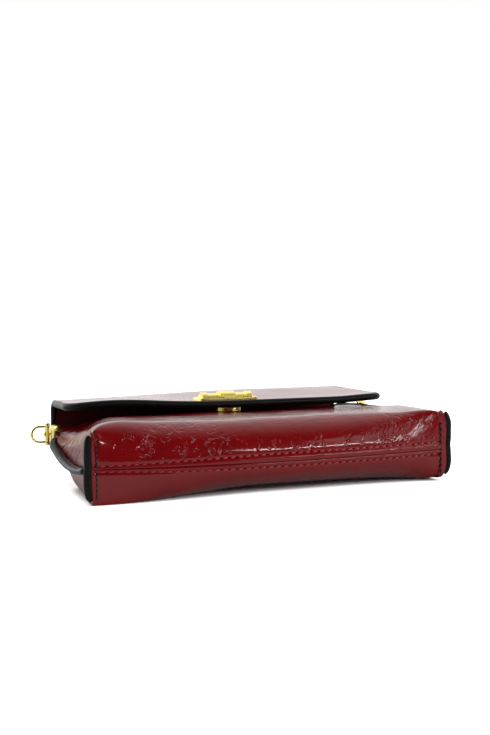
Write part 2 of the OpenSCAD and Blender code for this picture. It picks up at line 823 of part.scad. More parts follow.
module snap_stud() {
    color(gold) lay() translate([0, snap_y, flap_z]) {
        translate([0, 0, -stud_h]) cylinder(d = stud_d, h = stud_h);
        translate([0, 0, -stud_h - nub_h]) cylinder(d = nub_d, h = nub_h);
        prong_pair(flap_lining_t + washer_t + lay_gap);
    }
}

module stud_washer() {
    color(steel) lay() translate([0, snap_y, flap_z + flap_lining_t + lay_gap / 2]) washer_plate();
}

// Ornament: a plate, and on it a bar with a round back, a middle band and two collars, held by two posts
// and nuts
module arch(w, h) {
    translate([-w / 2, 0]) square([w, h - w / 4]);
    intersection() {
        translate([0, h - w * 5 / 8]) circle(w * 5 / 8);
        translate([-w / 2, h - w / 4]) square([w, w / 4]);
    }
}

module sleeve(length, wall) {
    along_x(length) difference() {
        arch(bar_w + 2 * wall, bar_h + wall);
        translate([0, -1]) arch(bar_w + 2 * hole_fit, bar_h + hole_fit + 1);
    }
}

plate_z = flap_top + lay_gap / 2;
bar_z = plate_z + plate_t + lay_gap / 2;

module clasp_plate() {
    color(gold) lay() translate([0, 0, plate_z]) linear_extrude(plate_t) difference() {
        translate([0, bar_y - plate_w / 2]) rounded_plate(plate_l, plate_w, plate_r);
        post_holes(post_d + 2 * hole_fit);
    }
}

module at_bar() {
    lay() translate([0, bar_y, bar_z]) children();
}

module clasp_bar() {
    color(gold) at_bar() difference() {
        along_x(bar_l) arch(bar_w, bar_h);
        for (s = [-1, 1]) translate([s * post_out, 0, -1]) cylinder(d = post_d, h = 1 + bar_h / 2);
    }
}

module clasp_band() {
    color(gold) at_bar() sleeve(band_l, band_wall);
}

module clasp_collars() {
    color(gold) at_bar() for (s = [-1, 1])
        translate([s * (bar_l - collar_l) / 2, 0, 0]) sleeve(collar_l, collar_wall);
}

module clasp_posts() {
    low_z = leather_z - lay_gap / 2 - nut_t;
    color(gold) lay() for (s = [-1, 1])
        translate([s * post_out, bar_y, low_z]) cylinder(d = post_d, h = bar_z + bar_h / 2 - low_z);
}

module clasp_nuts() {
    color(steel) lay() for (s = [-1, 1])
        translate([s * post_out, bar_y, leather_z - lay_gap / 2 - nut_t]) difference() {
            cylinder(d = nut_d, h = nut_t);
            translate([0, 0, -1]) cylinder(d = post_d, h = nut_t + 2);
        }
}

front_panel();
back_panel();
front_lining();
back_lining();
slip_pocket();
side_binding_left();
side_binding_right();
corner_binding_left();
corner_binding_right();
snap_socket();
socket_magnet();
socket_washer();
ring_clip_left();
ring_clip_right();
clip_rivet_left();
clip_rivet_right();
swivel_post_left();
swivel_post_right();
spine_panel();
spine_lining();
spine_binding_left();
spine_binding_right();
flap_panel();
flap_board();
flap_lining();
flap_binding();
snap_stud();
stud_washer();
clasp_plate();
clasp_bar();
clasp_band();
clasp_collars();
clasp_posts();
clasp_nuts();
ring_left();
ring_right();
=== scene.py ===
import json
import math

import bmesh
import bpy
from mathutils import Matrix, Quaternion, Vector, noise


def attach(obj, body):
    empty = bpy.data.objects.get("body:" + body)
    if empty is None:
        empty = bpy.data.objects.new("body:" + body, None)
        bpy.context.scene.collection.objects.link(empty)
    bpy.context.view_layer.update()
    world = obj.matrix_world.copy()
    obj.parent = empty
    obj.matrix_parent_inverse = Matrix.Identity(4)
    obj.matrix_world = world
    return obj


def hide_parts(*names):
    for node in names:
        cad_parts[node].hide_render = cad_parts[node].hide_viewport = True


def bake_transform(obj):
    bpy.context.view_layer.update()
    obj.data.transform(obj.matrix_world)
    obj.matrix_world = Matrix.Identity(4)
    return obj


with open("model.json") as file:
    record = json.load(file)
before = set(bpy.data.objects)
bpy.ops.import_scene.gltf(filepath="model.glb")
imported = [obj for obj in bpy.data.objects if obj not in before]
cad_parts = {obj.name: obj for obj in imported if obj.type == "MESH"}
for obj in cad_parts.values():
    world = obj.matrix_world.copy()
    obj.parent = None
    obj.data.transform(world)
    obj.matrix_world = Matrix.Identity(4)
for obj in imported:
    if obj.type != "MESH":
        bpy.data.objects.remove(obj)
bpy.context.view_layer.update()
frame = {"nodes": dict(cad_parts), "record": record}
nodes = frame["nodes"]
scene = bpy.context.scene
mm = 0.001
print("frame loaded,", len(nodes), "solids")


# camera
camera = {"place": (-265.0, -693.8, 104.2), "azimuth": -21.4, "elevation": 2.2, "roll": -0.7, "lens": 53.16,
          "sensor": 36.0, "near": 0.01}


def makeCamera():
    a, e = math.radians(camera["azimuth"]), math.radians(camera["elevation"])
    back = Vector((math.sin(a) * math.cos(e), -math.cos(a) * math.cos(e), math.sin(e)))
    cam = bpy.data.objects.new("camera", bpy.data.cameras.new("camera"))
    cam.data.lens = camera["lens"]
    cam.data.sensor_width = camera["sensor"]
    cam.data.clip_start = camera["near"]
    cam.location = Vector(camera["place"]) * mm
    cam.rotation_mode = "QUATERNION"
    cam.rotation_quaternion = Quaternion(back, math.radians(camera["roll"])) @ (-back).to_track_quat("-Z", "Y")
    scene.collection.objects.link(cam)
    scene.camera = cam


makeCamera()
print("camera placed")


# materials
def linear(hexColour):
    values = [int(hexColour[i:i + 2], 16) / 255 for i in (1, 3, 5)]
    return [v / 12.92 if v <= 0.04045 else ((v + 0.055) / 1.055) ** 2.4 for v in values] + [1.0]


def addNode(tree, kind, sockets=None, **settings):
    # a socket takes a value, another socket, or a node, which stands for its first output
    made = tree.nodes.new("ShaderNode" + kind)
    for key, value in settings.items():
        setattr(made, key, value)
    for key, value in (sockets or {}).items():
        if isinstance(value, bpy.types.Node):
            value = value.outputs[0]
        if isinstance(value, bpy.types.NodeSocket):
            tree.links.new(value, made.inputs[key])
        else:
            made.inputs[key].default_value = value
    return made


def newMaterial(name):
    mat = bpy.data.materials.new(name)
    mat.use_nodes = True
    tree = mat.node_tree
    tree.nodes.clear()
    return mat, tree, addNode(tree, "TexCoord").outputs["Object"]


def closeMaterial(mat, tree, sockets):
    shader = addNode(tree, "BsdfPrincipled", sockets)
    addNode(tree, "OutputMaterial", {"Surface": shader})
    return mat


# Patent leather: dyed hide under a thick clear film, so a mirror gloss; it crinkled where the bag was stuffed hardest,
# and there the gloss breaks into short bright curls. Sizes are in millimetres; places, reaches and depths in metres
patent = {
    "red": "#6e0004", "deep": "#560002", "dyeSize": 20.0, "rough": 0.3, "film": 0.66, "filmRough": 0.07,
    "waveSize": 14.0, "waveDepth": 0.0005, "grainSize": 0.9, "grainDepth": 0.0001, "warpSize": 9.0, "warp": 0.005,
    "creaseSize": 4.4, "creaseDepth": 0.0005, "creaseWidth": 0.105, "patchSize": 6.0, "patchEdge": (0.52, 0.7),
    "everywhere": 0.1,  # share of the creases outside the crumples
    "crumples": (  # left, right, and faintly between them
        {"place": (-0.066, -0.075, 0.034), "reach": (0.042, 0.06, 0.014), "weight": 1.8},
        {"place": (0.098, -0.075, 0.034), "reach": (0.036, 0.06, 0.015), "weight": 1.8},
        {"place": (0.02, -0.078, 0.03), "reach": (0.1, 0.05, 0.009), "weight": 0.45}),
    "pleats": (  # left side, right side, right end, crest and flap
        {"place": (-0.113, 0.0, 0.031), "reach": (0.03, 0.075, 0.02), "turn": (47, 0, 0), "drawn": (12, 1, 12),
         "size": 2.9, "depth": 0.0014},
        {"place": (0.114, 0.0, 0.034), "reach": (0.03, 0.08, 0.018), "turn": (52, 0, 0), "drawn": (12, 1, 12),
         "size": 4.6, "depth": 0.0009},
        {"place": (0.095, -0.07, 0.036), "reach": (0.045, 0.07, 0.016), "turn": (0, 40, 0), "drawn": (1, 12, 7),
         "size": 1.5, "depth": 0.0004},
        {"place": (0.0, -0.03, 0.046), "reach": (0.16, 0.055, 0.012), "turn": (0, 0, 8), "drawn": (5, 1, 1),
         "size": 1.7, "depth": 0.00034},
        {"place": (0.0, 0.04, 0.054), "reach": (0.2, 0.07, 0.008), "turn": (0, 0, -12), "drawn": (3.5, 1, 1),
         "size": 2.4, "depth": 0.00016}),
}


def patentLeather():
    mat, tree, spot = newMaterial("patent leather, crinkled")
    warp = addNode(tree, "TexNoise", {"Vector": spot, "Scale": 1000 / patent["warpSize"], "Detail": 2.0})
    shift = addNode(tree, "VectorMath", {
        0: warp.outputs["Color"], 1: [patent["warp"]] * 3, 2: spot}, operation="MULTIPLY_ADD")
    fields = {}
    for name, place, detail in (("wave", spot, 1.0), ("grain", shift, 2.0), ("dye", spot, 3.0)):
        fields[name] = addNode(tree, "TexNoise", {
            "Vector": place, "Scale": 1000 / patent[name + "Size"], "Detail": detail})
    # creases run where a noise crosses its middle, and break off where a patch ends; two sets lie over each other
    sets = []
    for seed in (0.0, 0.37):
        moved = addNode(tree, "VectorMath", {0: shift, 1: (seed, seed, 0)}, operation="ADD")
        level = addNode(tree, "TexNoise", {"Vector": moved, "Scale": 1000 / patent["creaseSize"], "Detail": 1.0})
        off = addNode(tree, "Math", {0: level, 1: 0.5}, operation="SUBTRACT")
        away = addNode(tree, "Math", {0: off}, operation="ABSOLUTE")
        line = addNode(tree, "MapRange", {
            "Value": away, "From Min": 0.0, "From Max": patent["creaseWidth"], "To Min": 1.0,
            "To Max": 0.0}, interpolation_type="SMOOTHSTEP")
        patch = addNode(tree, "TexNoise", {"Vector": moved, "Scale": 1000 / patent["patchSize"], "Detail": 1.0})
        kept = addNode(tree, "MapRange", {
            "Value": patch, "From Min": patent["patchEdge"][0],
            "From Max": patent["patchEdge"][1]}, interpolation_type="SMOOTHSTEP")
        sets.append(addNode(tree, "Math", {0: line, 1: kept}, operation="MULTIPLY"))
    crease = addNode(tree, "Math", {0: sets[0], 1: sets[1]}, operation="MAXIMUM")
    share = patent["everywhere"]
    for crumple in patent["crumples"]:
        local = addNode(tree, "Mapping", {
            "Vector": spot, "Location": crumple["place"], "Scale": crumple["reach"]}, vector_type="TEXTURE")
        ball = addNode(tree, "TexGradient", {"Vector": local}, gradient_type="SPHERICAL")
        share = addNode(tree, "Math", {
            0: ball.outputs["Fac"], 1: crumple["weight"], 2: share}, operation="MULTIPLY_ADD", use_clamp=True)
    tone = addNode(tree, "Mix", {
        "Factor": fields["dye"], 6: linear(patent["deep"]), 7: linear(patent["red"])}, data_type="RGBA")
    bump = addNode(tree, "Bump", {"Height": fields["wave"], "Strength": 0.5, "Distance": patent["waveDepth"]})
    bump = addNode(tree, "Bump", {
        "Height": fields["grain"], "Strength": 0.2, "Distance": patent["grainDepth"], "Normal": bump})
    bump = addNode(tree, "Bump", {
        "Height": crease, "Strength": share, "Distance": patent["creaseDepth"], "Normal": bump}, invert=True)
    # drawn pleats on the sides lean to the front, and finer ones cross the right end, the crest and the flap
    for fold in patent["pleats"]:
        turn = [math.radians(v) for v in fold["turn"]]
        leaning = addNode(tree, "Mapping", {
            "Vector": spot, "Rotation": turn, "Scale": fold["drawn"]}, vector_type="TEXTURE")
        pleat = addNode(tree, "TexNoise", {"Vector": leaning, "Scale": 1000 / fold["size"], "Detail": 2.0})
        local = addNode(tree, "Mapping", {
            "Vector": spot, "Location": fold["place"], "Scale": fold["reach"]}, vector_type="TEXTURE")
        ball = addNode(tree, "TexGradient", {"Vector": local}, gradient_type="SPHERICAL")
        near = addNode(tree, "Math", {0: ball.outputs["Fac"], 1: 2.0}, operation="MULTIPLY", use_clamp=True)
        bump = addNode(tree, "Bump", {"Height": pleat, "Strength": near, "Distance": fold["depth"], "Normal": bump})
    return closeMaterial(mat, tree, {
        "Base Color": tone.outputs[2], "Roughness": patent["rough"], "Specular IOR Level": 0.05,
        "Coat Weight": patent["film"], "Coat Roughness": patent["filmRough"], "Coat IOR": 1.5, "Normal": bump,
        "Coat Normal": bump})


# Split leather tape with a painted face: matt charcoal with a fine pore
tape = {"dark": "#030303", "pale": "#0e0f0f", "poreSize": 0.8, "streakSize": 6.0, "rough": 0.36}


def tapeLeather():
    mat, tree, spot = newMaterial("split leather tape, painted")
    streak = addNode(tree, "TexNoise", {"Vector": spot, "Scale": 1000 / tape["streakSize"], "Detail": 4.0})
    pore = addNode(tree, "TexVoronoi", {"Vector": spot, "Scale": 1000 / tape["poreSize"]})
    tone = addNode(tree, "Mix", {"Factor": streak, 6: linear(tape["dark"]), 7: linear(tape["pale"])}, data_type="RGBA")
    rough = addNode(tree, "MapRange", {"Value": streak, "To Min": tape["rough"] - 0.1, "To Max": tape["rough"] + 0.12})
    bump = addNode(tree, "Bump", {"Height": streak, "Strength": 0.4, "Distance": 0.0004})
    bump = addNode(tree, "Bump", {"Height": pore, "Strength": 0.3, "Distance": 0.0001, "Normal": bump})
    return closeMaterial(mat, tree, {
        "Base Color": tone.outputs[2], "Roughness": rough, "Specular IOR Level": 0.14, "Normal": bump})


# Gilt brass: cast, polished and flash plated, so lemon yellow with soft polishing waves
gilt = {"bright": "#fff09c", "deep": "#f3df78", "waveSize": 3.0, "scratchSize": 0.25, "rough": 0.24}


def giltBrass():
    mat, tree, spot = newMaterial("gilt brass, polished")
    wave = addNode(tree, "TexNoise", {"Vector": spot, "Scale": 1000 / gilt["waveSize"], "Detail": 3.0})
    scratch = addNode(tree, "TexNoise", {"Vector": spot, "Scale": 1000 / gilt["scratchSize"], "Detail": 2.0})
    tone = addNode(tree, "Mix", {"Factor": wave, 6: linear(gilt["deep"]), 7: linear(gilt["bright"])}, data_type="RGBA")
    rough = addNode(tree, "MapRange", {
        "Value": scratch, "To Min": gilt["rough"] - 0.06, "To Max": gilt["rough"] + 0.08})
    bump = addNode(tree, "Bump", {"Height": wave, "Strength": 0.12, "Distance": 0.0003})
    return closeMaterial(mat, tree, {
        "Base Color": tone.outputs[2], "Roughness": rough, "Metallic": 1.0, "Normal": bump})


# Zinc plated steel: pressed, with a dull spangled plating
zinc = {"dark": "#8d9194", "pale": "#c3c6c8", "spangle": 1.2, "rough": 0.36}


def zincSteel():
    mat, tree, spot = newMaterial("zinc plated steel, pressed")
    cell = addNode(tree, "TexVoronoi", {"Vector": spot, "Scale": 1000 / zinc["spangle"]})
    tone = addNode(tree, "Mix", {"Factor": cell, 6: linear(zinc["pale"]), 7: linear(zinc["dark"])}, data_type="RGBA")
    return closeMaterial(mat, tree, {"Base Color": tone.outputs[2], "Roughness": zinc["rough"], "Metallic": 1.0})


# Polyester twill: woven, dull, with slanted ribs; the ribs are drawn at 1 mm so that they show
twill = {"dark": "#2c0307", "pale": "#56090f", "rib": 1.0, "slubSize": 5.0, "rough": 0.75}


def twillCloth():
    mat, tree, spot = newMaterial("polyester twill, woven")
    turned = addNode(tree, "Mapping", {"Vector": spot, "Rotation": (0.3, 0.4, math.radians(63))})
    rib = addNode(tree, "TexWave", {
        "Vector": turned, "Scale": 100 * math.pi / twill["rib"], "Distortion": 0.4, "Detail": 1.0}, wave_profile="SIN")
    slub = addNode(tree, "TexNoise", {"Vector": spot, "Scale": 1000 / twill["slubSize"], "Detail": 4.0})
    mixed = addNode(tree, "Math", {0: rib.outputs["Fac"], 1: slub}, operation="MULTIPLY")
    tone = addNode(tree, "Mix", {"Factor": mixed, 6: linear(twill["dark"]), 7: linear(twill["pale"])}, data_type="RGBA")
    bump = addNode(tree, "Bump", {"Height": rib.outputs["Fac"], "Strength": 0.35, "Distance": 0.00025})
    return closeMaterial(mat, tree, {
        "Base Color": tone.outputs[2], "Roughness": twill["rough"], "Specular IOR Level": 0.1, "Normal": bump,
        "Sheen Weight": 0.03, "Sheen Roughness": 0.5})


# Bonded polyester thread: twisted plies, satin
thread = {"ply": 0.45, "rough": 0.4}


def sewingThread(name, dark, pale, shine=0.5):
    mat, tree, spot = newMaterial(name)
    ply = addNode(tree, "TexWave", {
        "Vector": spot, "Scale": 100 * math.pi / thread["ply"], "Distortion": 0.5}, bands_direction="DIAGONAL")
    tone = addNode(tree, "Mix", {"Factor": ply.outputs["Fac"], 6: linear(dark), 7: linear(pale)}, data_type="RGBA")
    bump = addNode(tree, "Bump", {"Height": ply.outputs["Fac"], "Strength": 0.5, "Distance": 0.0001})
    return closeMaterial(mat, tree, {
        "Base Color": tone.outputs[2], "Roughness": thread["rough"], "Specular IOR Level": shine, "Normal": bump})


# Paper board: pressed grey pulp with fibres
pulp = {"dark": "#786f62", "pale": "#948a7b", "fibre": 2.0}


def paperBoard():
    mat, tree, spot = newMaterial("paper board, pressed")
    fibre = addNode(tree, "TexNoise", {"Vector": spot, "Scale": 1000 / pulp["fibre"], "Detail": 5.0})
    tone = addNode(tree, "Mix", {"Factor": fibre, 6: linear(pulp["dark"]), 7: linear(pulp["pale"])}, data_type="RGBA")
    return closeMaterial(mat, tree, {"Base Color": tone.outputs[2], "Roughness": 0.9})


redLeather = patentLeather()
blackTape = tapeLeather()
gold = giltBrass()
steel = zincSteel()
lining = twillCloth()
redThread = sewingThread("polyester thread, red", "#70050f", "#b42834")
blackThread = sewingThread("polyester thread, black", "#050505", "#1b1c1c")
# needle holes: dark discs with no shine, painted shade for the hollow of each hole
holeShade = sewingThread("needle holes, painted shade", "#240206", "#3c060c", 0.0)
board = paperBoard()
print("materials made")


# curves of the stuffed body, in millimetres, as in the solids; y counts from the bottom corners, and s from -1 at the
# left to 1 at the right; pairs are left and right
bag = {
    "halfW": 118.5, "sideH": 118.5, "frontH": 124.0, "middleY": 73.175, "backEnd": 149.0, "depth": (45.5, 43.0),
    "middleDepth": (46.0, 45.5, 42.0), "bulge": 7.0, "frontRound": 18.0, "roll": (10, 4), "backRound": 42.0,
    "edgeDown": 107.0, "seamRise": 21.0, "seamSag": 0.8, "seamGap": 0.05, "dip": (18.5, 22.0), "mouth": (34.0, 42.5),
    "shoulder": (39.0, 46.0), "shoulderIn": (10.5, 18.5), "mouthRise": 3.0, "floorIn": (12.0, 46.0), "crown": 10,
    "foldY": 151.0, "lowFoldZ": 2.4, "topFoldZ": 51.066, "midSpineZ": 30.0, "lapZ": 7.0, "flapHalf": 112.0,
    "neck": 86.0, "neckZ": 9.0, "spineCorner": 26.0, "spineR": 1.7, "lip": 5.0, "pinch": 2.2,
}


def mix(a, b, t):
    return a + (b - a) * t


def ease(t):
    t = min(max(t, 0.0), 1.0)
    return t * t * (3 - 2 * t)


def rise(value, span):
    # eases from 0 to 1 over a span, which is a start and a length
    return ease((value - span[0]) / span[1])


def mid3(a, b, c, t):
    return a * (1 - t) * (1 - 2 * t) + 4 * b * t * (1 - t) + c * t * (2 * t - 1)


def bez(a, b, c, d, t):
    return a * (1 - t) ** 3 + 3 * b * t * (1 - t) ** 2 + 3 * c * t * t * (1 - t) + d * t ** 3


def bell(d, width):
    return math.exp(-(d / width) ** 2)


def lay(x, y, z):
    return Vector((x, y - bag["middleY"], z)) * mm


def leftRight(pair, s):
    return mix(pair[0], pair[1], (s + 1) / 2)


def seamZ(s, r):
    return mid3(bag["seamRise"], leftRight(bag["dip"], s), leftRight(bag["mouth"], s), r)


def shoulderZ(s, r):
    top = leftRight(bag["mouth"], s) + bag["mouthRise"]
    return mid3(leftRight(bag["depth"], s), leftRight(bag["shoulder"], s), top, r)


def shoulderX(r):
    return bag["halfW"] - mid3(0, *bag["shoulderIn"], r)


def floorX(r):
    return bag["halfW"] - mid3(0, *bag["floorIn"], r)


def frontZ(s, r):
    return mix(mid3(*bag["middleDepth"], r), shoulderZ(s, r), abs(s) ** bag["crown"])


def bottomSeam(s):
    return -bag["bulge"] * (1 - s * s), bag["seamRise"] - bag["seamSag"] * (1 - s * s)


def frontEdgeY(s, inset):
    y = bag["frontRound"] * (1 - abs(s) ** bag["roll"][s > 0])
    return y + inset * (1 - y / bag["frontRound"])


def backEdgeY(s, inset):
    y = bag["backRound"] * (1 - s ** 4)
    y += inset * (1 - y / bag["backRound"])
    return mix(inset, y, ease(s * bag["halfW"] / bag["edgeDown"] + 1))


def panelEdge(s, front, inset=0.0):
    # where the round of the bottom ends on the front or on the back
    if front:
        return frontEdgeY(s, inset), frontZ(s, 0) - inset
    return backEdgeY(s, inset), inset


def bottomPoint(s, turn, inset, highY, lowZ, highZ):
    lowY = inset + bottomSeam(s)[0]
    c, w = math.cos(turn * math.pi / 2), math.sin(turn * math.pi / 2)
    return [s * (bag["halfW"] - inset), mix(lowY, highY, 1 - c), mix(lowZ, highZ, w)]


def frontSide(s, turn, r, inset):
    flat = r * r
    x0 = bag["halfW"] - inset * (1 - flat)
    z0 = seamZ(s, r) + bag["seamGap"] + (bag["pinch"] - inset) * flat
    x3, z3 = shoulderX(r) - inset, shoulderZ(s, r) - inset
    t = math.sin(turn * math.pi / 2)
    return [s * bez(x0, mix(x0, x3, mid3(0, 0, 0.33, r)), mix(x0, x3, mid3(0.3, 0.25, 0.66, r)), x3, t),
            mix(inset, bag["sideH"], r),
            bez(z0, mix(z0, z3, mid3(1 / 3, 0.45, 0.1, r)), mix(z0, z3, mid3(2 / 3, 0.95, 0.6, r)), z3, t)]


def frontAcross(s, r, inset):
    mouthY = mix(bag["frontH"], bag["sideH"], s ** 4)
    return [s * (shoulderX(r) - inset), mix(frontEdgeY(s, inset), mouthY, r), frontZ(s, r) - inset]


def backY(s, r, past, inset):
    return mix(mix(backEdgeY(s, inset), bag["sideH"], r), bag["backEnd"], past)


def backSide(s, turn, r, past, inset):
    flat = r * r
    x0 = mix(bag["halfW"] - inset * (1 - flat), bag["neck"], past)
    z0 = mix(seamZ(s, r) - bag["seamGap"] - bag["pinch"] * flat, 0, ease(past)) + inset * flat
    x3 = mix(floorX(r) - inset, bag["neck"] - bag["lip"], past)
    held, halfUp = ease((r - 0.5) / 0.38), min(2 * r, 1)
    t = math.sin(turn * math.pi / 2)
    return [s * bez(x0, mix(x0, x3, mix(0, 0.5, held)), mix(x0, x3, mix(0.25, 0.7, held)), x3, t),
            backY(s, r, past, inset),
            bez(z0, mix(z0, inset, mix(mix(1 / 3, 0.5, halfUp), 0, held)),
                mix(z0, inset, mix(2 / 3, 1, halfUp)), inset, t)]


def backAcross(s, r, past, inset):
    x3 = mix(floorX(r) - inset, bag["neck"] - bag["lip"], past)
    return [s * x3, backY(s, r, past, inset), inset]


# helpers for the meshes
def finishPiece(name, bm, material):
    for v in bm.verts:
        v.co.z = max(v.co.z, 0.0)  # what lies on the table is flat there
    mesh = bpy.data.meshes.new(name)
    bm.to_mesh(mesh)
    bm.free()
    piece = bpy.data.objects.new(name, mesh)
    scene.collection.objects.link(piece)
    mesh.materials.append(material)
    for face in mesh.polygons:
        face.use_smooth = True
    return piece


def thicken(piece, thick, offset=-1):
    wall = piece.modifiers.new("thickness", "SOLIDIFY")
    wall.thickness = thick * mm
    wall.offset = offset


def soften(piece, thick=0.0):
    if thick:
        thicken(piece, thick)
    sub = piece.modifiers.new("subdivision", "SUBSURF")
    sub.levels = sub.render_levels = 1
    return piece


def placedGrid(bm, columns, rows, place):
    made = bmesh.ops.create_grid(bm, x_segments=columns, y_segments=rows, size=0.5)["verts"]
    for v in made:
        v.co = place(v.co.x + 0.5, v.co.y + 0.5)


def faceOut(bm, probe, direction):
    # the face nearest to the probe looks in the direction, and the others with it
    bm.normal_update()
    near = min(bm.faces, key=lambda f: (f.calc_center_median() - probe).length)
    if near.normal.dot(Vector(direction)) < 0:
        bmesh.ops.reverse_faces(bm, faces=bm.faces[:])
    bm.normal_update()


def ruffle(bm, size, depth, seed, keep=None):
    # soft waves along the normals
    bm.normal_update()
    for v in bm.verts:
        share = keep(v.co / mm) if keep else 1.0
        v.co += v.normal * noise.noise(v.co / (size * mm) + Vector((seed, seed, seed))) * depth * mm * share


def sweep(bm, shape, segments, stations):
    # a closed section drawn from a circle and pulled from station to station; a station is a centre and two directions
    flat = bm.verts.layers.float_vector.new("section")
    ring = set(bmesh.ops.create_circle(bm, cap_ends=True, segments=segments, radius=1.0)["verts"])
    for v in ring:
        v[flat] = shape(v.co.x, v.co.y)
    for i, (centre, across, up) in enumerate(stations):
        if i:
            edges = [e for e in bm.edges if e.verts[0] in ring and e.verts[1] in ring]
            made = bmesh.ops.extrude_edge_only(bm, edges=edges)["geom"]
            ring = set(g for g in made if isinstance(g, bmesh.types.BMVert))
        for v in ring:
            v.co = (centre + across * v[flat].x + up * v[flat].y) * mm
    edges = [e for e in bm.edges if e.verts[0] in ring and e.verts[1] in ring]
    bmesh.ops.contextual_create(bm, geom=edges)
    bmesh.ops.recalc_face_normals(bm, faces=bm.faces[:])


def arcPath(cy, cz, a0, a1, r0, r1, count):
    path = []
    for i in range(count + 1):
        a, r = math.radians(mix(a0, a1, i / count)), mix(r0, r1, i / count)
        path.append((cy + r * math.cos(a), cz + r * math.sin(a)))
    return path


# front of the bag; row is how far its stitches run from the seam, and leftRow the share of that at the left end
frontLook = {"inset": 0.0, "sideN": 30, "halfN": 40, "rowN": 44, "rowPower": 1.6, "thick": 1.3, "turnIn": 1.6,
             "row": 4.8, "leftRow": 0.38, "rowSpan": 125.0, "waves": ((30, 0.7, 3.0), (11, 0.22, 8.0))}
liningLook = {"inset": 1.5, "sideN": 10, "halfN": 18, "rowN": 20, "rowPower": 1.6, "topN": 6, "thick": 0.45,
              "bend": (2.6, 2.4), "riseZ": 4.4}
seamLook = {"groove": 0.55, "grooveW": 0.9, "welt": 0.6, "weltAt": 0.45, "weltW": 0.35, "corner": (115.9, 117.0),
            "cornerDepth": 0.8, "cornerW": 0.8, "ridge": 0.5, "ridgeX": 117.8, "ridgeW": 0.6}
stuffing = {"left": 2.2, "leftX": -98.0, "leftW": 17.0, "leftY": (-7.0, 24.0), "right": 2.4, "rightX": (90.0, 24.0),
            "backY": (40.0, 38.0), "lowZ": (30.0, 14.0), "corner": 2.6, "cornerX": 6.0, "cornerY": 9.0}
waveEnds = {"bottom": (6.0, 14.0), "top": (150.0, -12.0), "side": (120.5, -10.0)}


def rowAt(x, look):
    # the rows of stitches run closer to the seam towards the left end
    return look["row"] * mix(look["leftRow"], 1, ease((x + bag["halfW"]) / look["rowSpan"]))


def seamForm(x, d, row):
    # the leather swells between the seam and its row of stitches, and dips at the stitches and along the corner seams
    dip = seamLook["groove"] * bell(d - row, seamLook["grooveW"])
    dip -= seamLook["welt"] * bell(d - row * seamLook["weltAt"], row * seamLook["weltW"])
    dip += seamLook["cornerDepth"] * bell(abs(x) - seamLook["corner"][x > 0], seamLook["cornerW"])
    dip -= seamLook["ridge"] * bell(abs(x) - seamLook["ridgeX"], seamLook["ridgeW"])
    return dip * ease(bag["halfW"] - abs(x))  # none at the corner itself, where the sides meet


def columnOf(u, look):
    # the side that a column is on, or 0 between them, and how far along it is
    sideN, halfN = look["sideN"], look["halfN"]
    c = u * 2 * (sideN + halfN)
    if c <= sideN:
        return -1, c / sideN
    if c >= sideN + 2 * halfN:
        return 1, (2 * (sideN + halfN) - c) / sideN
    return 0, math.sin(math.pi / 2 * ((c - sideN) / halfN - 1))


def bottomSheet(bm, look, front):
    # from the bottom seam round to the front or to the back
    inset, gap = look["inset"], bag["seamGap"] if front else -bag["seamGap"]

    def place(u, v):
        s = math.sin(math.pi / 2 * (2 * u - 1))
        seamY, seamHigh = bottomSeam(s)
        highY, highZ = panelEdge(s, front, inset)
        p = bottomPoint(s, v ** look["rowPower"], inset, highY, seamHigh + gap, highZ)
        if not inset and 0 < v < 1:
            p[1] += seamForm(p[0], math.hypot(p[1] - seamY, p[2] - seamHigh), rowAt(p[0], look))
        return lay(*p)

    placedGrid(bm, 2 * look["halfN"], look["sideN"], place)
    bmesh.ops.remove_doubles(bm, verts=bm.verts[:], dist=0.01 * mm)


def frontSheet(bm, look):
    def place(u, v):
        side, k = columnOf(u, look)
        if side:
            return lay(*frontSide(side, k ** look["rowPower"], v, look["inset"]))
        return lay(*frontAcross(k, v, look["inset"]))

    placedGrid(bm, 2 * (look["sideN"] + look["halfN"]), look["rowN"], place)
    bottomSheet(bm, look, True)


def turnIn(bm):
    # the edges of a panel below the mouth are turned to the inside of their seams
    mouthLine, depth = bag["sideH"] - bag["middleY"] - 0.2, frontLook["turnIn"]
    edges = [e for e in bm.edges if e.is_boundary and all(v.co.y / mm < mouthLine for v in e.verts)]
    made = bmesh.ops.extrude_edge_only(bm, edges=edges)["geom"]
    for v in [g for g in made if isinstance(g, bmesh.types.BMVert)]:
        p = v.co / mm
        step = Vector((0, depth, 0))
        if abs(p.x) > bag["halfW"] - 0.5:
            step = Vector((-math.copysign(depth, p.x), depth if p.y < 1 - bag["middleY"] else 0, 0))
        v.co += step * mm


def seamShare(p):
    # waves fade out towards the seams
    y = p.y + bag["middleY"]
    return rise(y, waveEnds["bottom"]) * rise(y, waveEnds["top"]) * rise(abs(p.x), waveEnds["side"])


def swell(p):
    # the stuffing stands fuller behind the bottom edge near both ends, and the left corner is rounded off
    y = p.y + bag["middleY"]
    left = stuffing["left"] * bell(p.x - stuffing["leftX"], stuffing["leftW"]) * rise(y, stuffing["leftY"])
    right = stuffing["right"] * rise(p.x, stuffing["rightX"])
    down = stuffing["corner"] * bell(p.x + bag["halfW"], stuffing["cornerX"]) * bell(y, stuffing["cornerY"])
    return (1 - rise(y, stuffing["backY"])) * rise(p.z, stuffing["lowZ"]) * (left - down + right)


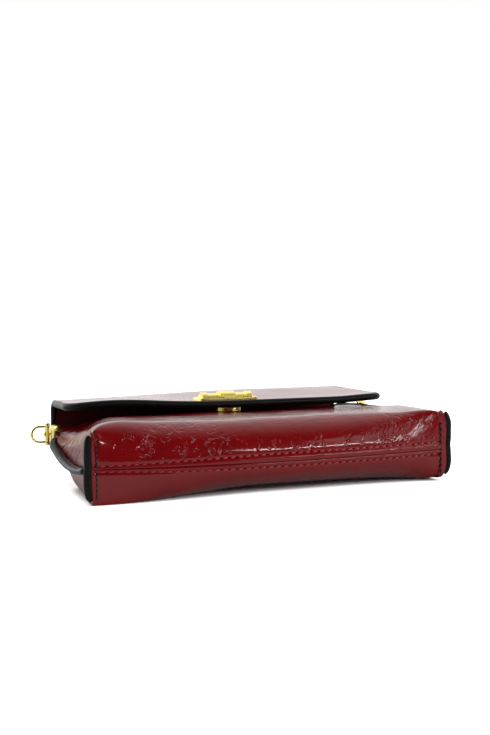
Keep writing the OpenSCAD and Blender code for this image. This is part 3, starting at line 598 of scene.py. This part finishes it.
def makeFront():
    onTop, up = lay(0, 70, 46), (0, 0, 1)
    bm = bmesh.new()
    frontSheet(bm, frontLook)
    for v in bm.verts:
        v.co.z += swell(v.co / mm) * mm
    faceOut(bm, onTop, up)
    for size, depth, seed in frontLook["waves"]:
        ruffle(bm, size, depth, seed, seamShare)
    turnIn(bm)
    piece = soften(finishPiece("front_leather", bm, redLeather), frontLook["thick"])
    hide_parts("front_panel")
    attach(piece, "body")
    bm = bmesh.new()
    frontSheet(bm, liningLook)
    faceOut(bm, onTop, up)
    piece = soften(finishPiece("front_lining_cloth", bm, lining), liningLook["thick"])
    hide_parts("front_lining")
    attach(piece, "body")


makeFront()
print("front made")


# back of the bag, round the lower fold
backLook = {"inset": 0.0, "sideN": 24, "halfN": 34, "rowN": 44, "rowPower": 1.6, "topN": 9, "spineN": 3, "bendN": 6,
            "row": 3.0, "leftRow": 0.45, "rowSpan": 62.0, "flatRows": (149.6, 150.3), "spineIn": 1.6, "spineInN": 4,
            "corner": 3.0, "cornerX": 7.0, "cornerY": 12.0, "cornerZ": 8.0, "waves": (11, 0.18, 21.0)}


def spineHalf(z):
    # half the width of the spine, which has round lower corners
    low = max(bag["spineCorner"] + bag["lowFoldZ"] - bag["spineR"] - z, 0)
    full = bag["neck"] + math.sqrt(max(bag["spineCorner"] ** 2 - low * low, 0))
    return mix(bag["neck"], full, ease(z / bag["neckZ"]))


def backSheet(bm, look, foldPath):
    rowN, topN = look["rowN"], look["topN"]
    rows = rowN + topN + len(foldPath)

    def place(u, v):
        i = v * rows
        side, k = columnOf(u, look)
        r, past = min(i / rowN, 1), min(max((i - rowN) / topN, 0), 1)
        if side:
            p = backSide(side, k ** look["rowPower"], r, past, look["inset"])
        else:
            p = backAcross(k, r, past, look["inset"])
        after = i - rowN - topN
        if after > 0.01:
            y, z = foldPath[min(round(after), len(foldPath)) - 1]
            half = spineHalf(z) - backLook["spineIn"] * ease(after / backLook["spineInN"])
            p = [p[0] * half / bag["neck"], y, z]
        return lay(*p)

    placedGrid(bm, 2 * (look["sideN"] + look["halfN"]), rows, place)
    bottomSheet(bm, look, False)


def risePath(y, z):
    # from the fold up to the lap at the foot of the spine
    n = backLook["spineN"]
    return [(y, mix(z, bag["lapZ"], (i + 1) / n)) for i in range(n)]


def makeBack():
    foldY, foldZ, r, bend = bag["foldY"], bag["lowFoldZ"], bag["spineR"], liningLook["bend"]
    under, down = lay(0, 80, 0), (0, 0, -1)
    outer = [(y, 0.0) for y in backLook["flatRows"]]
    outer += arcPath(foldY, foldZ, -90, 0, foldZ, r, backLook["bendN"]) + risePath(foldY + r, foldZ)
    bm = bmesh.new()
    backSheet(bm, backLook, outer)
    for v in bm.verts:  # the right corner is drawn up
        x, y, z = v.co / mm
        near = bell(x - bag["halfW"], backLook["cornerX"]) * bell(y + bag["middleY"], backLook["cornerY"])
        v.co.z += backLook["corner"] * near * bell(z, backLook["cornerZ"]) * mm
    faceOut(bm, under, down)
    ruffle(bm, *backLook["waves"], seamShare)
    turnIn(bm)
    piece = soften(finishPiece("back_leather", bm, redLeather), frontLook["thick"])
    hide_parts("back_panel")
    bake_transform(piece)
    inner = arcPath(foldY - r - bend[1], liningLook["inset"] + bend[0], -80, 0, *bend, backLook["bendN"])
    inner += risePath(foldY - r, liningLook["riseZ"])
    bm = bmesh.new()
    backSheet(bm, liningLook, inner)
    faceOut(bm, under, down)
    piece = soften(finishPiece("back_lining_cloth", bm, lining), liningLook["thick"])
    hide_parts("back_lining")
    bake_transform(piece)


makeBack()
print("back made")


# flap: leather and lining from the lap at the foot of the spine to the front edge, and a board between them
flapLook = {"front": 75.0, "corner": 12.0, "flare": math.radians(5), "edgeIn": 1.88, "top": 52.94, "under": 49.19,
            "halfN": 44, "rowN": 34, "spineN": 12, "bendN": 6, "thick": 1.6, "lap": ((0.5, -2.0), (0.4, 0.0)),
            "start": 3.0, "waves": (26, 0.35, 31.0), "waveFront": (-1.0, 12.0), "waveBack": (76.0, -10.0)}
flapForm = {"lift": 3.2, "liftX": (-112.0, 150.0), "backY": (84.0, 64.0), "corner": 1.3, "cornerX": (78.0, 34.0),
            "arch": 3.3, "archX": -84.0, "archW": 40.0, "fullBelow": 4.0}
flapInside = {"halfN": 24, "rowN": 18, "bend": 2.4, "thick": 0.6, "lap": (-0.7, -1.5), "start": 2.0}
stiffener = {"halfN": 16, "rowN": 14, "y": 148.6, "z": 51.22, "thick": 1.1}


def flapLift(x, y):
    # the closed flap stands higher at its back and to the right, and its front edge is arched on the left
    front = flapForm["corner"] * rise(x, flapForm["cornerX"])
    front += flapForm["arch"] * bell(x - flapForm["archX"], flapForm["archW"])
    return mix(front, flapForm["lift"] * rise(x, flapForm["liftX"]), rise(y, flapForm["backY"]))


def liftShare(z):
    # the lift starts half way up the spine, and is full a little below its upper fold
    low, high = bag["midSpineZ"], bag["topFoldZ"] - flapForm["fullBelow"]
    return ease((z - low) / (high - low))


def flapHalf(y):
    return bag["flapHalf"] + (bag["backEnd"] - min(y, bag["backEnd"])) * math.tan(flapLook["flare"])


def flapCorner():
    y = flapLook["front"] + flapLook["corner"]
    return flapHalf(y) - flapLook["corner"] / math.cos(flapLook["flare"]), y


def flapFrontY(x):
    r = flapLook["corner"] - flapLook["edgeIn"]
    over = min(max(abs(x) - flapCorner()[0], 0), r)
    return flapCorner()[1] - math.sqrt(r * r - over * over)


def flapSheet(bm, path, look, level):
    rows = len(path) - 1 + look["rowN"]
    reach = flapCorner()[0] + flapLook["corner"] - flapLook["edgeIn"]

    def place(u, v):
        share = math.sin(math.pi / 2 * (2 * u - 1))
        i = round(v * rows)
        if i < len(path):
            y, z = path[i]
            x = share * (min(flapHalf(y), spineHalf(z)) - flapLook["edgeIn"])
            z += flapLift(x, y) * liftShare(z)
        else:
            y = mix(path[-1][0], flapFrontY(share * reach), (i - len(path) + 1) / look["rowN"])
            x = share * (flapHalf(y) - flapLook["edgeIn"])
            z = level + flapLift(x, y)
        return lay(x, y, z)

    placedGrid(bm, 2 * look["halfN"], rows, place)


def flapShare(p):
    # waves fade out towards the front edge and the fold
    return rise(p.y, flapLook["waveFront"]) * rise(p.y, flapLook["waveBack"])


def makeFlap():
    foldY, foldZ, lapZ, r = bag["foldY"], bag["topFoldZ"], bag["lapZ"], bag["spineR"]
    n, bendN, under, bend = flapLook["spineN"], flapLook["bendN"], flapLook["under"], flapInside["bend"]
    outer = [(foldY + r + out, lapZ + up) for out, up in flapLook["lap"]]  # the lap outside the back's end
    outer += [(foldY + r, mix(lapZ + flapLook["start"], foldZ, i / n)) for i in range(n)]
    outer += arcPath(foldY, foldZ, 0, 90, r, flapLook["top"] - foldZ, bendN)
    bm = bmesh.new()
    flapSheet(bm, outer, flapLook, flapLook["top"])
    faceOut(bm, lay(0, 110, 53), (0, 0, 1))
    ruffle(bm, *flapLook["waves"], flapShare)
    piece = soften(finishPiece("flap_leather", bm, redLeather), flapLook["thick"])
    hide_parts("flap_panel", "spine_panel")
    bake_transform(piece)
    inner = [(foldY - r + flapInside["lap"][0], lapZ + flapInside["lap"][1])]
    inner += [(foldY - r, mix(lapZ + flapInside["start"], under - bend, i / n)) for i in range(n)]
    inner += arcPath(foldY - r - bend, under - bend, 0, 90, bend, bend, bendN)
    bm = bmesh.new()
    flapSheet(bm, inner, flapInside, under)
    faceOut(bm, lay(0, 110, 49), (0, 0, -1))
    piece = soften(finishPiece("flap_lining_cloth", bm, lining), flapInside["thick"])
    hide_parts("flap_lining", "spine_lining")
    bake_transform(piece)
    bm = bmesh.new()
    flapSheet(bm, [(stiffener["y"], stiffener["z"])], stiffener, stiffener["z"])
    faceOut(bm, lay(0, 110, 51), (0, 0, 1))
    piece = finishPiece("flap_stiffener", bm, board)
    thicken(piece, stiffener["thick"])
    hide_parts("flap_board")
    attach(piece, "flap")


makeFlap()
print("flap made")


# bindings: tapes round the flap, along the sides, at the corners and up the spine
binding = {"flapW": 5.2, "flapT": 5.1, "flapN": 20, "flapDrop": 0.5, "foldR": 3.4, "spineShare": 0.45, "spineThin": 0.8,
           "sideW": 6.0, "sideT": 4.2, "tapeN": 18, "sideEnds": (3.0, 106.8), "sideOut": (6.0, 2.1),
           "sideN": 24, "sideThin": (97.0, 10.0), "sideWaves": (7, 0.3), "upN": 8, "bendN": 6, "alongN": 12,
           "roundN": 12, "frontN": 19, "spineOut": 0.3, "overlap": 2.0, "edgeW": 5.0, "edgeT": 3.9, "edgeOut": 1.4,
           "edgeN": 12, "edgeThin": (3.0, 12.0), "edgeInset": 0.9, "edgeTurn": 0.25, "edgeBack": 6.0,
           "edgeArc": (-75, 0, 1.6, 0.3, 5), "passes": 4}
fins = {"left": {"out": 4.8, "tape": 5.0, "low": 2.2, "high": 41.5, "leather": 2.8, "waist": 0.25},
        "right": {"out": 7.2, "tape": 4.6, "low": 4.0, "high": 46.0, "leather": 5.6, "waist": 0.7}}
finForm = {"tapeT": 4.2, "leatherT": 3.0, "under": 1.2, "lower": 0.6, "higher": 0.8, "y": 1.5, "tip": 0.1,
           "tipLeast": 0.06, "seam": (3.0, 2.2), "ends": 2.4, "endLong": 0.22, "lean": 0.5, "leanLong": 0.2,
           "waves": (8, 0.35), "n": 20}


def stadium(width, thick):
    # a circle pulled out to a round ended section that reaches from 0 to -width
    r = thick / 2
    return lambda x, y: Vector(((x - 1) * r - (width - thick if x < 0.01 else 0), y * r, 0))


def flapEdgePath():
    # up the spine's left edge, over the fold, along the flap, round its corner and to the middle of its front
    half, foldY, foldZ, midZ, r = bag["flapHalf"], bag["foldY"], bag["topFoldZ"], bag["midSpineZ"], binding["foldR"]
    upN, bendN, alongN, roundN, frontN = (binding[k] for k in ("upN", "bendN", "alongN", "roundN", "frontN"))
    corner, flare = flapLook["corner"], flapLook["flare"]
    cornerX, cornerY = flapCorner()
    out, up = Vector((-1, 0, 0)), Vector((0, 0, 1))
    stations = []
    for i in range(upN + 1):
        at = Vector((-half - binding["spineOut"], foldY, mix(midZ - binding["overlap"], foldZ - r, i / upN)))
        stations.append((at, out, Vector((0, 1, 0))))
    for i in range(1, bendN + 1):
        a = math.pi / 2 * i / bendN
        at = Vector((-half, foldY - r + r * math.cos(a), foldZ - r + r * math.sin(a)))
        stations.append((at, out, Vector((0, math.cos(a), math.sin(a)))))
    out = Vector((-math.cos(flare), math.sin(flare), 0))
    for i in range(1, alongN + 1):
        y = mix(foldY - r, cornerY + corner * math.sin(flare), i / alongN)
        stations.append((Vector((-flapHalf(y), y, foldZ)), out, up))
    for i in range(1, roundN + 1):
        a = mix(math.pi - flare, math.pi * 1.5, i / roundN)
        out = Vector((math.cos(a), math.sin(a), 0))
        stations.append((Vector((-cornerX, cornerY, foldZ)) + out * corner, out, up))
    for i in range(1, frontN + 1):
        stations.append((Vector((mix(-cornerX, 0, i / frontN), cornerY - corner, foldZ)), Vector((0, -1, 0)), up))
    flip = Matrix.Scale(-1, 3, (1, 0, 0))
    stations += [(flip @ c, flip @ a, u) for c, a, u in reversed(stations[:-1])]
    lifted = []
    for c, a, u in stations:
        share = liftShare(c.z)
        at = c + Vector((0, -bag["middleY"], (flapLift(c.x, c.y) - binding["flapDrop"]) * share))
        lifted.append((at, a * mix(binding["spineShare"], 1, share), u * mix(binding["spineThin"], 1, share)))
    return lifted


def spineEdgePath(s):
    # along the upper side edge of the back, round the lower fold and up the side of the spine
    n, inset, foldY, foldZ = binding["edgeN"], binding["edgeInset"], bag["foldY"], bag["lowFoldZ"]
    edge, inner = [], []
    for i in range(n + 1):
        edge.append(Vector(backSide(s, 0, 1, i / n, inset)))
        inner.append(Vector(backSide(s, binding["edgeTurn"], 1, i / n, inset)))
    path = arcPath(foldY, foldZ, *binding["edgeArc"])
    path += [(foldY, mix(foldZ, bag["midSpineZ"] + binding["overlap"], (i + 1) / n)) for i in range(n)]
    for y, z in path:
        edge.append(Vector((s * spineHalf(z), y, z)))
        inner.append(Vector((s * (spineHalf(z) - binding["edgeBack"]), y, z)))
    for again in range(binding["passes"]):  # each pass smooths both lines
        for row in (edge, inner):
            row[1:-1] = [(a + b * 2 + c) / 4 for a, b, c in zip(row[:-2], row[1:-1], row[2:])]
    stations = []
    for i, at in enumerate(edge):
        along = (edge[min(i + 1, len(edge) - 1)] - edge[max(i - 1, 0)]).normalized()
        out = at - inner[i]
        out = (out - along * out.dot(along)).normalized()
        slim = mix(1, binding["spineShare"], rise(at.z, binding["edgeThin"]))
        centre = at + out * binding["edgeOut"] * slim - Vector((0, bag["middleY"], 0))
        stations.append((centre, out * slim, along.cross(out)))
    return stations


def sideSeamPath(s):
    stations, n, step = [], binding["sideN"], 0.01
    for i in range(n + 1):
        y = mix(*binding["sideEnds"], i / n)
        r = y / bag["sideH"]
        out = mix(*binding["sideOut"], rise(y, binding["sideThin"]))
        slope = (seamZ(s, r + step) - seamZ(s, r - step)) / (2 * step * bag["sideH"])
        at = Vector((s * (bag["halfW"] + out), y - bag["middleY"], seamZ(s, r)))
        stations.append((at, Vector((s, 0, 0)), Vector((0, -slope, 1)).normalized()))
    return stations


def cornerPath(s, waist, wide, out, low, high):
    # upright along a boxed corner, round at both ends and pinched where the bottom seam meets it
    stations = []
    for i in range(finForm["n"] + 1):
        t = i / finForm["n"]
        z, end = mix(low, high, t), min(t, 1 - t)
        full = math.sqrt(max(1 - (1 - min(end, finForm["tip"]) / finForm["tip"]) ** 2, finForm["tipLeast"]))
        pinch = bell(z - bag["seamRise"] - finForm["seam"][0], finForm["seam"][1])
        pinch += finForm["ends"] * (1 - ease(end / finForm["endLong"]))
        x = bag["halfW"] + out - wide * (1 - full) / 2 - waist * pinch
        lean = finForm["lean"] * full * (1 - ease(t / finForm["leanLong"]))
        at = Vector((s * x, finForm["y"] - bag["middleY"], z))
        stations.append((at, Vector((s * full, 0, lean)), Vector((0, full, 0))))
    return stations


def sweptPiece(name, path, section, sides, material=blackTape, waves=None):
    bm = bmesh.new()
    sweep(bm, stadium(*section), sides, path)
    if waves:
        ruffle(bm, *waves)
    return soften(finishPiece(name, bm, material))


def makeBindings():
    sides = binding["tapeN"]
    piece = sweptPiece("flap_edge_binding", flapEdgePath(), (binding["flapW"], binding["flapT"]), binding["flapN"])
    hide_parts("flap_binding")
    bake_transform(piece)
    for s, side in ((-1, "left"), (1, "right")):
        piece = sweptPiece("side_seam_tape_" + side, sideSeamPath(s), (binding["sideW"], binding["sideT"]), sides,
                           waves=(*binding["sideWaves"], 41.0 + s))
        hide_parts("side_binding_" + side)
        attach(piece, "body")
        fin, waves = fins[side], (*finForm["waves"], 51.0 + s)
        path = cornerPath(s, fin["waist"], fin["tape"], fin["out"], fin["low"], fin["high"])
        piece = sweptPiece("corner_tape_" + side, path, (fin["tape"], finForm["tapeT"]), sides, waves=waves)
        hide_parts("corner_binding_" + side)
        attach(piece, "body")
        path = cornerPath(s, fin["waist"], fin["leather"], fin["out"] - fin["tape"] + finForm["under"],
                          fin["low"] * finForm["lower"], fin["high"] + finForm["higher"])
        piece = sweptPiece("corner_fin_" + side, path, (fin["leather"], finForm["leatherT"]), sides,
                           redLeather, waves)
        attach(piece, "body")
        piece = sweptPiece("spine_tape_" + side, spineEdgePath(s), (binding["edgeW"], binding["edgeT"]), sides)
        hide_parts("spine_binding_" + side)
        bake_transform(piece)


makeBindings()
print("bindings made")


# stitches; fill is the thread's share of the pitch, and each ends in a needle hole, drawn as a dark disc of painted
# shade
stitch = {"proud": 0.12, "ends": 114.5, "lineN": 120, "cornerY": 0.15, "cornerEnds": (2.5, 5.0),
          "red": {"fill": 0.62, "thick": 1.25, "hole": (1.8, 1.2), "slant": 12, "pitch": 5.0},
          "sunk": {"fill": 0.55, "thick": 0.65, "hole": (1.5, 0.8), "slant": 12, "upTo": -45.0},
          "fine": {"fill": 0.66, "thick": 0.8, "hole": (0.9, 0.9), "slant": 0, "pitch": 3.0},
          "black": ({"fill": 0.76, "thick": 1.0, "hole": (1.0, 1.0), "slant": 0, "pitch": 3.2},
                    {"fill": 0.8, "thick": 1.6, "hole": (1.5, 1.5), "slant": 10, "pitch": 4.0})}


def evenSteps(points, pitch):
    # points along a line at one pitch
    lengths = [0.0]
    for a, b in zip(points[:-1], points[1:]):
        lengths.append(lengths[-1] + (b - a).length)
    count = max(2, round(lengths[-1] / pitch))
    steps, k = [], 0
    for i in range(count + 1):
        at = lengths[-1] * i / count
        while k < len(points) - 2 and lengths[k + 1] < at:
            k += 1
        steps.append(points[k].lerp(points[k + 1], (at - lengths[k]) / max(lengths[k + 1] - lengths[k], 1e-9)))
    return steps


def stitchRow(bm, points, ups, size):
    # a low bead of thread for each stitch, and at its end a dark disc with no shine: painted shade for its needle hole
    slant = Matrix.Rotation(math.radians(size["slant"]), 4, "Z")
    lying = Matrix.Rotation(math.pi / 2, 4, "Y")
    half = size["thick"] / 2
    hole = Matrix.Diagonal((size["hole"][0] / 2, size["hole"][1] / 2, stitch["proud"], 1))
    for a, b, up in zip(points[:-1], points[1:], ups):
        along = (b - a).normalized()
        side = up.cross(along).normalized()
        turn = Matrix((along, side, along.cross(side))).transposed().to_4x4() @ slant @ Matrix.Scale(mm, 4)
        bead = Matrix.Diagonal(((b - a).length * size["fill"] / 2, half, half, 1)) @ lying
        for index, at, form, rings in ((0, (a + b) / 2, bead, 5), (1, b, hole, 4)):
            made = bmesh.ops.create_uvsphere(bm, u_segments=8, v_segments=rings, radius=1.0,
                                             matrix=Matrix.Translation(at * mm) @ turn @ form)
            for face in set(f for v in made["verts"] for f in v.link_faces):
                face.material_index = index


def straightRow(bm, start, end, up, size):
    points = evenSteps([lay(*start) / mm, lay(*end) / mm], size["pitch"])
    stitchRow(bm, points, [Vector(up)] * len(points), size)


def sewnPiece(name, bm, thread):
    piece = finishPiece(name, bm, thread)
    piece.data.materials.append(holeShade)
    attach(piece, "body")


# slip pocket on the back lining
pocket = {"w": 128.0, "h": 68.0, "y": 46.0, "z": 2.3, "slack": 1.4, "slackV": (0.3, 0.7), "droop": 1.5, "thick": 0.5,
          "columns": 40, "rows": 24, "waves": (22, 0.25, 61.0), "waveW": 60.0,
          "rowX": (62.0, 62.5), "rowY": (47.5, 112.0), "rowZ": 2.9}


def makePocket():
    def place(u, v):
        slack = pocket["slack"] * rise(v, pocket["slackV"]) * (1 - (2 * u - 1) ** 2)
        y = pocket["y"] + v * pocket["h"] - slack * pocket["droop"]
        return lay((u - 0.5) * pocket["w"], y, pocket["z"] + slack)

    bm = bmesh.new()
    placedGrid(bm, pocket["columns"], pocket["rows"], place)
    faceOut(bm, lay(0, 80, 2.5), (0, 0, 1))
    ruffle(bm, *pocket["waves"], lambda p: bell(p.x, pocket["waveW"]))
    piece = soften(finishPiece("slip_pocket_cloth", bm, lining))
    thicken(piece, pocket["thick"], 1)
    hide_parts("slip_pocket")
    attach(piece, "body")
    (acrossX, sideX), (lowY, topY), z = pocket["rowX"], pocket["rowY"], pocket["rowZ"]
    bm = bmesh.new()
    straightRow(bm, (-acrossX, lowY, z), (acrossX, lowY, z), (0, 0, 1), stitch["fine"])
    for x in (-sideX, sideX):
        straightRow(bm, (x, lowY, z), (x, topY, z), (0, 0, 1), stitch["fine"])
    sewnPiece("slip_pocket_stitches", bm, redThread)


makePocket()
print("pocket made")


def seamRow(front):
    # places for stitches just proud of the leather along one side of the seam, and the way out of it at each
    look = frontLook if front else backLook
    points, ups, n = [], [], stitch["lineN"]
    for i in range(n + 1):
        x = mix(-stitch["ends"], stitch["ends"], i / n)
        s = x / bag["halfW"]
        seamHigh = bottomSeam(s)[1]
        highY, highZ = panelEdge(s, front)
        turn = math.asin(rowAt(x, look) / abs(highZ - seamHigh)) / (math.pi / 2)
        p = bottomPoint(s, turn, 0, highY, seamHigh, highZ)
        q = bottomPoint(s, turn + 0.02, 0, highY, seamHigh, highZ)
        up = Vector([b - a for a, b in zip(p, q)]).normalized().cross(Vector((1, 0, 0)))
        p[1] += seamLook["groove"] - stitch["proud"]
        points.append(lay(*p) / mm)
        ups.append(up if up.y < 0 else -up)
    steps = evenSteps(points, stitch["red"]["pitch"])
    outs = []
    for a, b in zip(steps[:-1], steps[1:]):
        k = min(range(len(points)), key=lambda j: (points[j] - (a + b) / 2).length)
        outs.append(ups[k])
    return [p + out * stitch["proud"] for p, out in zip(steps, outs + outs[-1:])], outs


def makeStitches():
    bm = bmesh.new()
    for front in (True, False):
        points, outs = seamRow(front)
        cut = sum(p.x < stitch["sunk"]["upTo"] for p in points)  # they lie deeper towards the left end
        stitchRow(bm, points[:cut + 1], outs[:cut], stitch["sunk"])
        stitchRow(bm, points[cut:], outs[cut:], stitch["red"])
    sewnPiece("bottom_seam_stitches", bm, redThread)
    bm = bmesh.new()
    for s in (-1, 1):
        x, y, low = s * seamLook["corner"][s > 0], stitch["cornerY"], stitch["cornerEnds"][0]
        high = leftRight(bag["depth"], s) - stitch["cornerEnds"][1]
        straightRow(bm, (x, y, low), (x, y, high), (0, -1, 0), stitch["black"][s > 0])
    sewnPiece("corner_stitches", bm, blackThread)


makeStitches()
print("stitches made")


# metal and hidden pieces keep their solids and get their finish here
finishes = {"gilt": gold, "steel": steel, "board": board, "binding": blackTape, "lining": lining,
            "red_leather": redLeather}


def dressSolids():
    slots = {part["node"]: part["material_slot"] for part in frame["record"]["subparts"]}
    for name, solid in nodes.items():
        solid.data.materials.clear()
        solid.data.materials.append(finishes[slots[name]])


dressSolids()
print("solids dressed")


# floor, light and background; the walls say how bright the room is in the film, by the way that it is mirrored
stageLook = {"paper": ("#f4f4f4", "#f8f8f8"), "paperSize": 6.0, "paperZ": -0.0002, "grain": 40.0,
             "mirrorFloor": "#d6d6d6", "glow": 0.68, "contact": 0.007, "contactEdge": (0.3, 0.8), "worldLight": 0.9,
             "walls": {"Y": {"from": (-0.55, 0.4), "to": (0.01, 1.18)}, "X": {"from": (-0.05, -0.4), "to": (1.0, 2.1)}}}
white = (1, 1, 1, 1)


def makeFloor():
    bm = bmesh.new()
    bmesh.ops.create_grid(bm, x_segments=1, y_segments=1, size=stageLook["paperSize"])
    mat, tree, spot = newMaterial("paper sweep, matt white")
    path = addNode(tree, "LightPath")
    grain = addNode(tree, "TexNoise", {"Vector": spot, "Scale": stageLook["grain"]})
    tone = addNode(tree, "Mix", {
        "Factor": grain, 6: linear(stageLook["paper"][0]), 7: linear(stageLook["paper"][1])}, data_type="RGBA")
    shader = addNode(tree, "BsdfDiffuse", {"Color": tone.outputs[2]})
    # the camera sees the paper a little brighter, but not in the dark line where the bag meets it
    clear = addNode(tree, "AmbientOcclusion", {"Distance": stageLook["contact"]}, samples=8)
    power = addNode(tree, "MapRange", {
        "Value": clear.outputs["AO"], "From Min": stageLook["contactEdge"][0], "From Max": stageLook["contactEdge"][1],
        "To Max": stageLook["glow"]})
    glow = addNode(tree, "Emission", {"Color": white, "Strength": power})
    both = addNode(tree, "AddShader", {0: shader, 1: glow})
    dull = addNode(tree, "BsdfDiffuse", {"Color": linear(stageLook["mirrorFloor"])})
    other = addNode(tree, "MixShader", {0: path.outputs["Is Glossy Ray"], 1: shader, 2: dull})
    picked = addNode(tree, "MixShader", {0: path.outputs["Is Camera Ray"], 1: other, 2: both})
    addNode(tree, "OutputMaterial", {"Surface": picked})
    floor = finishPiece("floor", bm, mat)
    floor.location.z = stageLook["paperZ"]


def makeWorld():
    world = bpy.data.worlds.new("studio")
    scene.world = world
    world.use_nodes = True
    tree = world.node_tree
    tree.nodes.clear()
    path = addNode(tree, "LightPath")
    way = addNode(tree, "TexCoord").outputs["Generated"]
    split = addNode(tree, "SeparateXYZ", {0: way})
    walls = []
    for axis, wall in stageLook["walls"].items():
        level = addNode(tree, "MapRange", {
            "Value": split.outputs[axis], "From Min": wall["from"][0], "From Max": wall["from"][1],
            "To Min": wall["to"][0], "To Max": wall["to"][1]}, interpolation_type="SMOOTHSTEP")
        walls.append(level)
    room = addNode(tree, "Math", {0: walls[0], 1: walls[1]}, operation="MULTIPLY")
    seen = addNode(tree, "Math", {
        0: path.outputs["Is Glossy Ray"], 1: path.outputs["Is Transmission Ray"]}, operation="MAXIMUM")
    soft, mirrored, plain = [
        addNode(tree, "Background", {"Color": white, "Strength": strength})
        for strength in (stageLook["worldLight"], room, 1.0)]
    light = addNode(tree, "MixShader", {0: seen, 1: soft, 2: mirrored})
    shown = addNode(tree, "MixShader", {0: path.outputs["Is Camera Ray"], 1: light, 2: plain})
    addNode(tree, "OutputWorld", {"Surface": shown})


lights = {
    "strip_softbox": {"place": (0.80, -1.15, 0.52), "aim": (0.02, -0.06, 0.03), "size": (0.85, 0.03), "power": 4.5,
                      "mirrored": True, "roll": 25},
    "side_softbox": {"place": (1.15, -0.95, 0.95), "aim": (0.02, -0.06, 0.03), "size": (0.9, 0.5), "power": 2.0,
                     "mirrored": True, "roll": 0},
    "top_wall": {"place": (0.0, 0.2, 1.9), "aim": (0, 0, 0), "size": (2.4, 2.0), "power": 15.0,
                 "mirrored": False, "roll": 0},
}


def areaLight(name, look):
    lamp = bpy.data.objects.new(name, bpy.data.lights.new(name, "AREA"))
    lamp.data.shape = "RECTANGLE"
    lamp.data.size, lamp.data.size_y = look["size"]
    lamp.data.energy = look["power"]
    lamp.location = Vector(look["place"])
    lamp.rotation_mode = "QUATERNION"
    aim = Vector(look["aim"]) - Vector(look["place"])
    lamp.rotation_quaternion = Quaternion(aim.normalized(), math.radians(look["roll"])) @ aim.to_track_quat("-Z", "Y")
    lamp.visible_glossy = look["mirrored"]
    scene.collection.objects.link(lamp)


makeFloor()
makeWorld()
for name, look in lights.items():
    areaLight(name, look)
print("stage lit")

scene.view_settings.view_transform = "Standard"
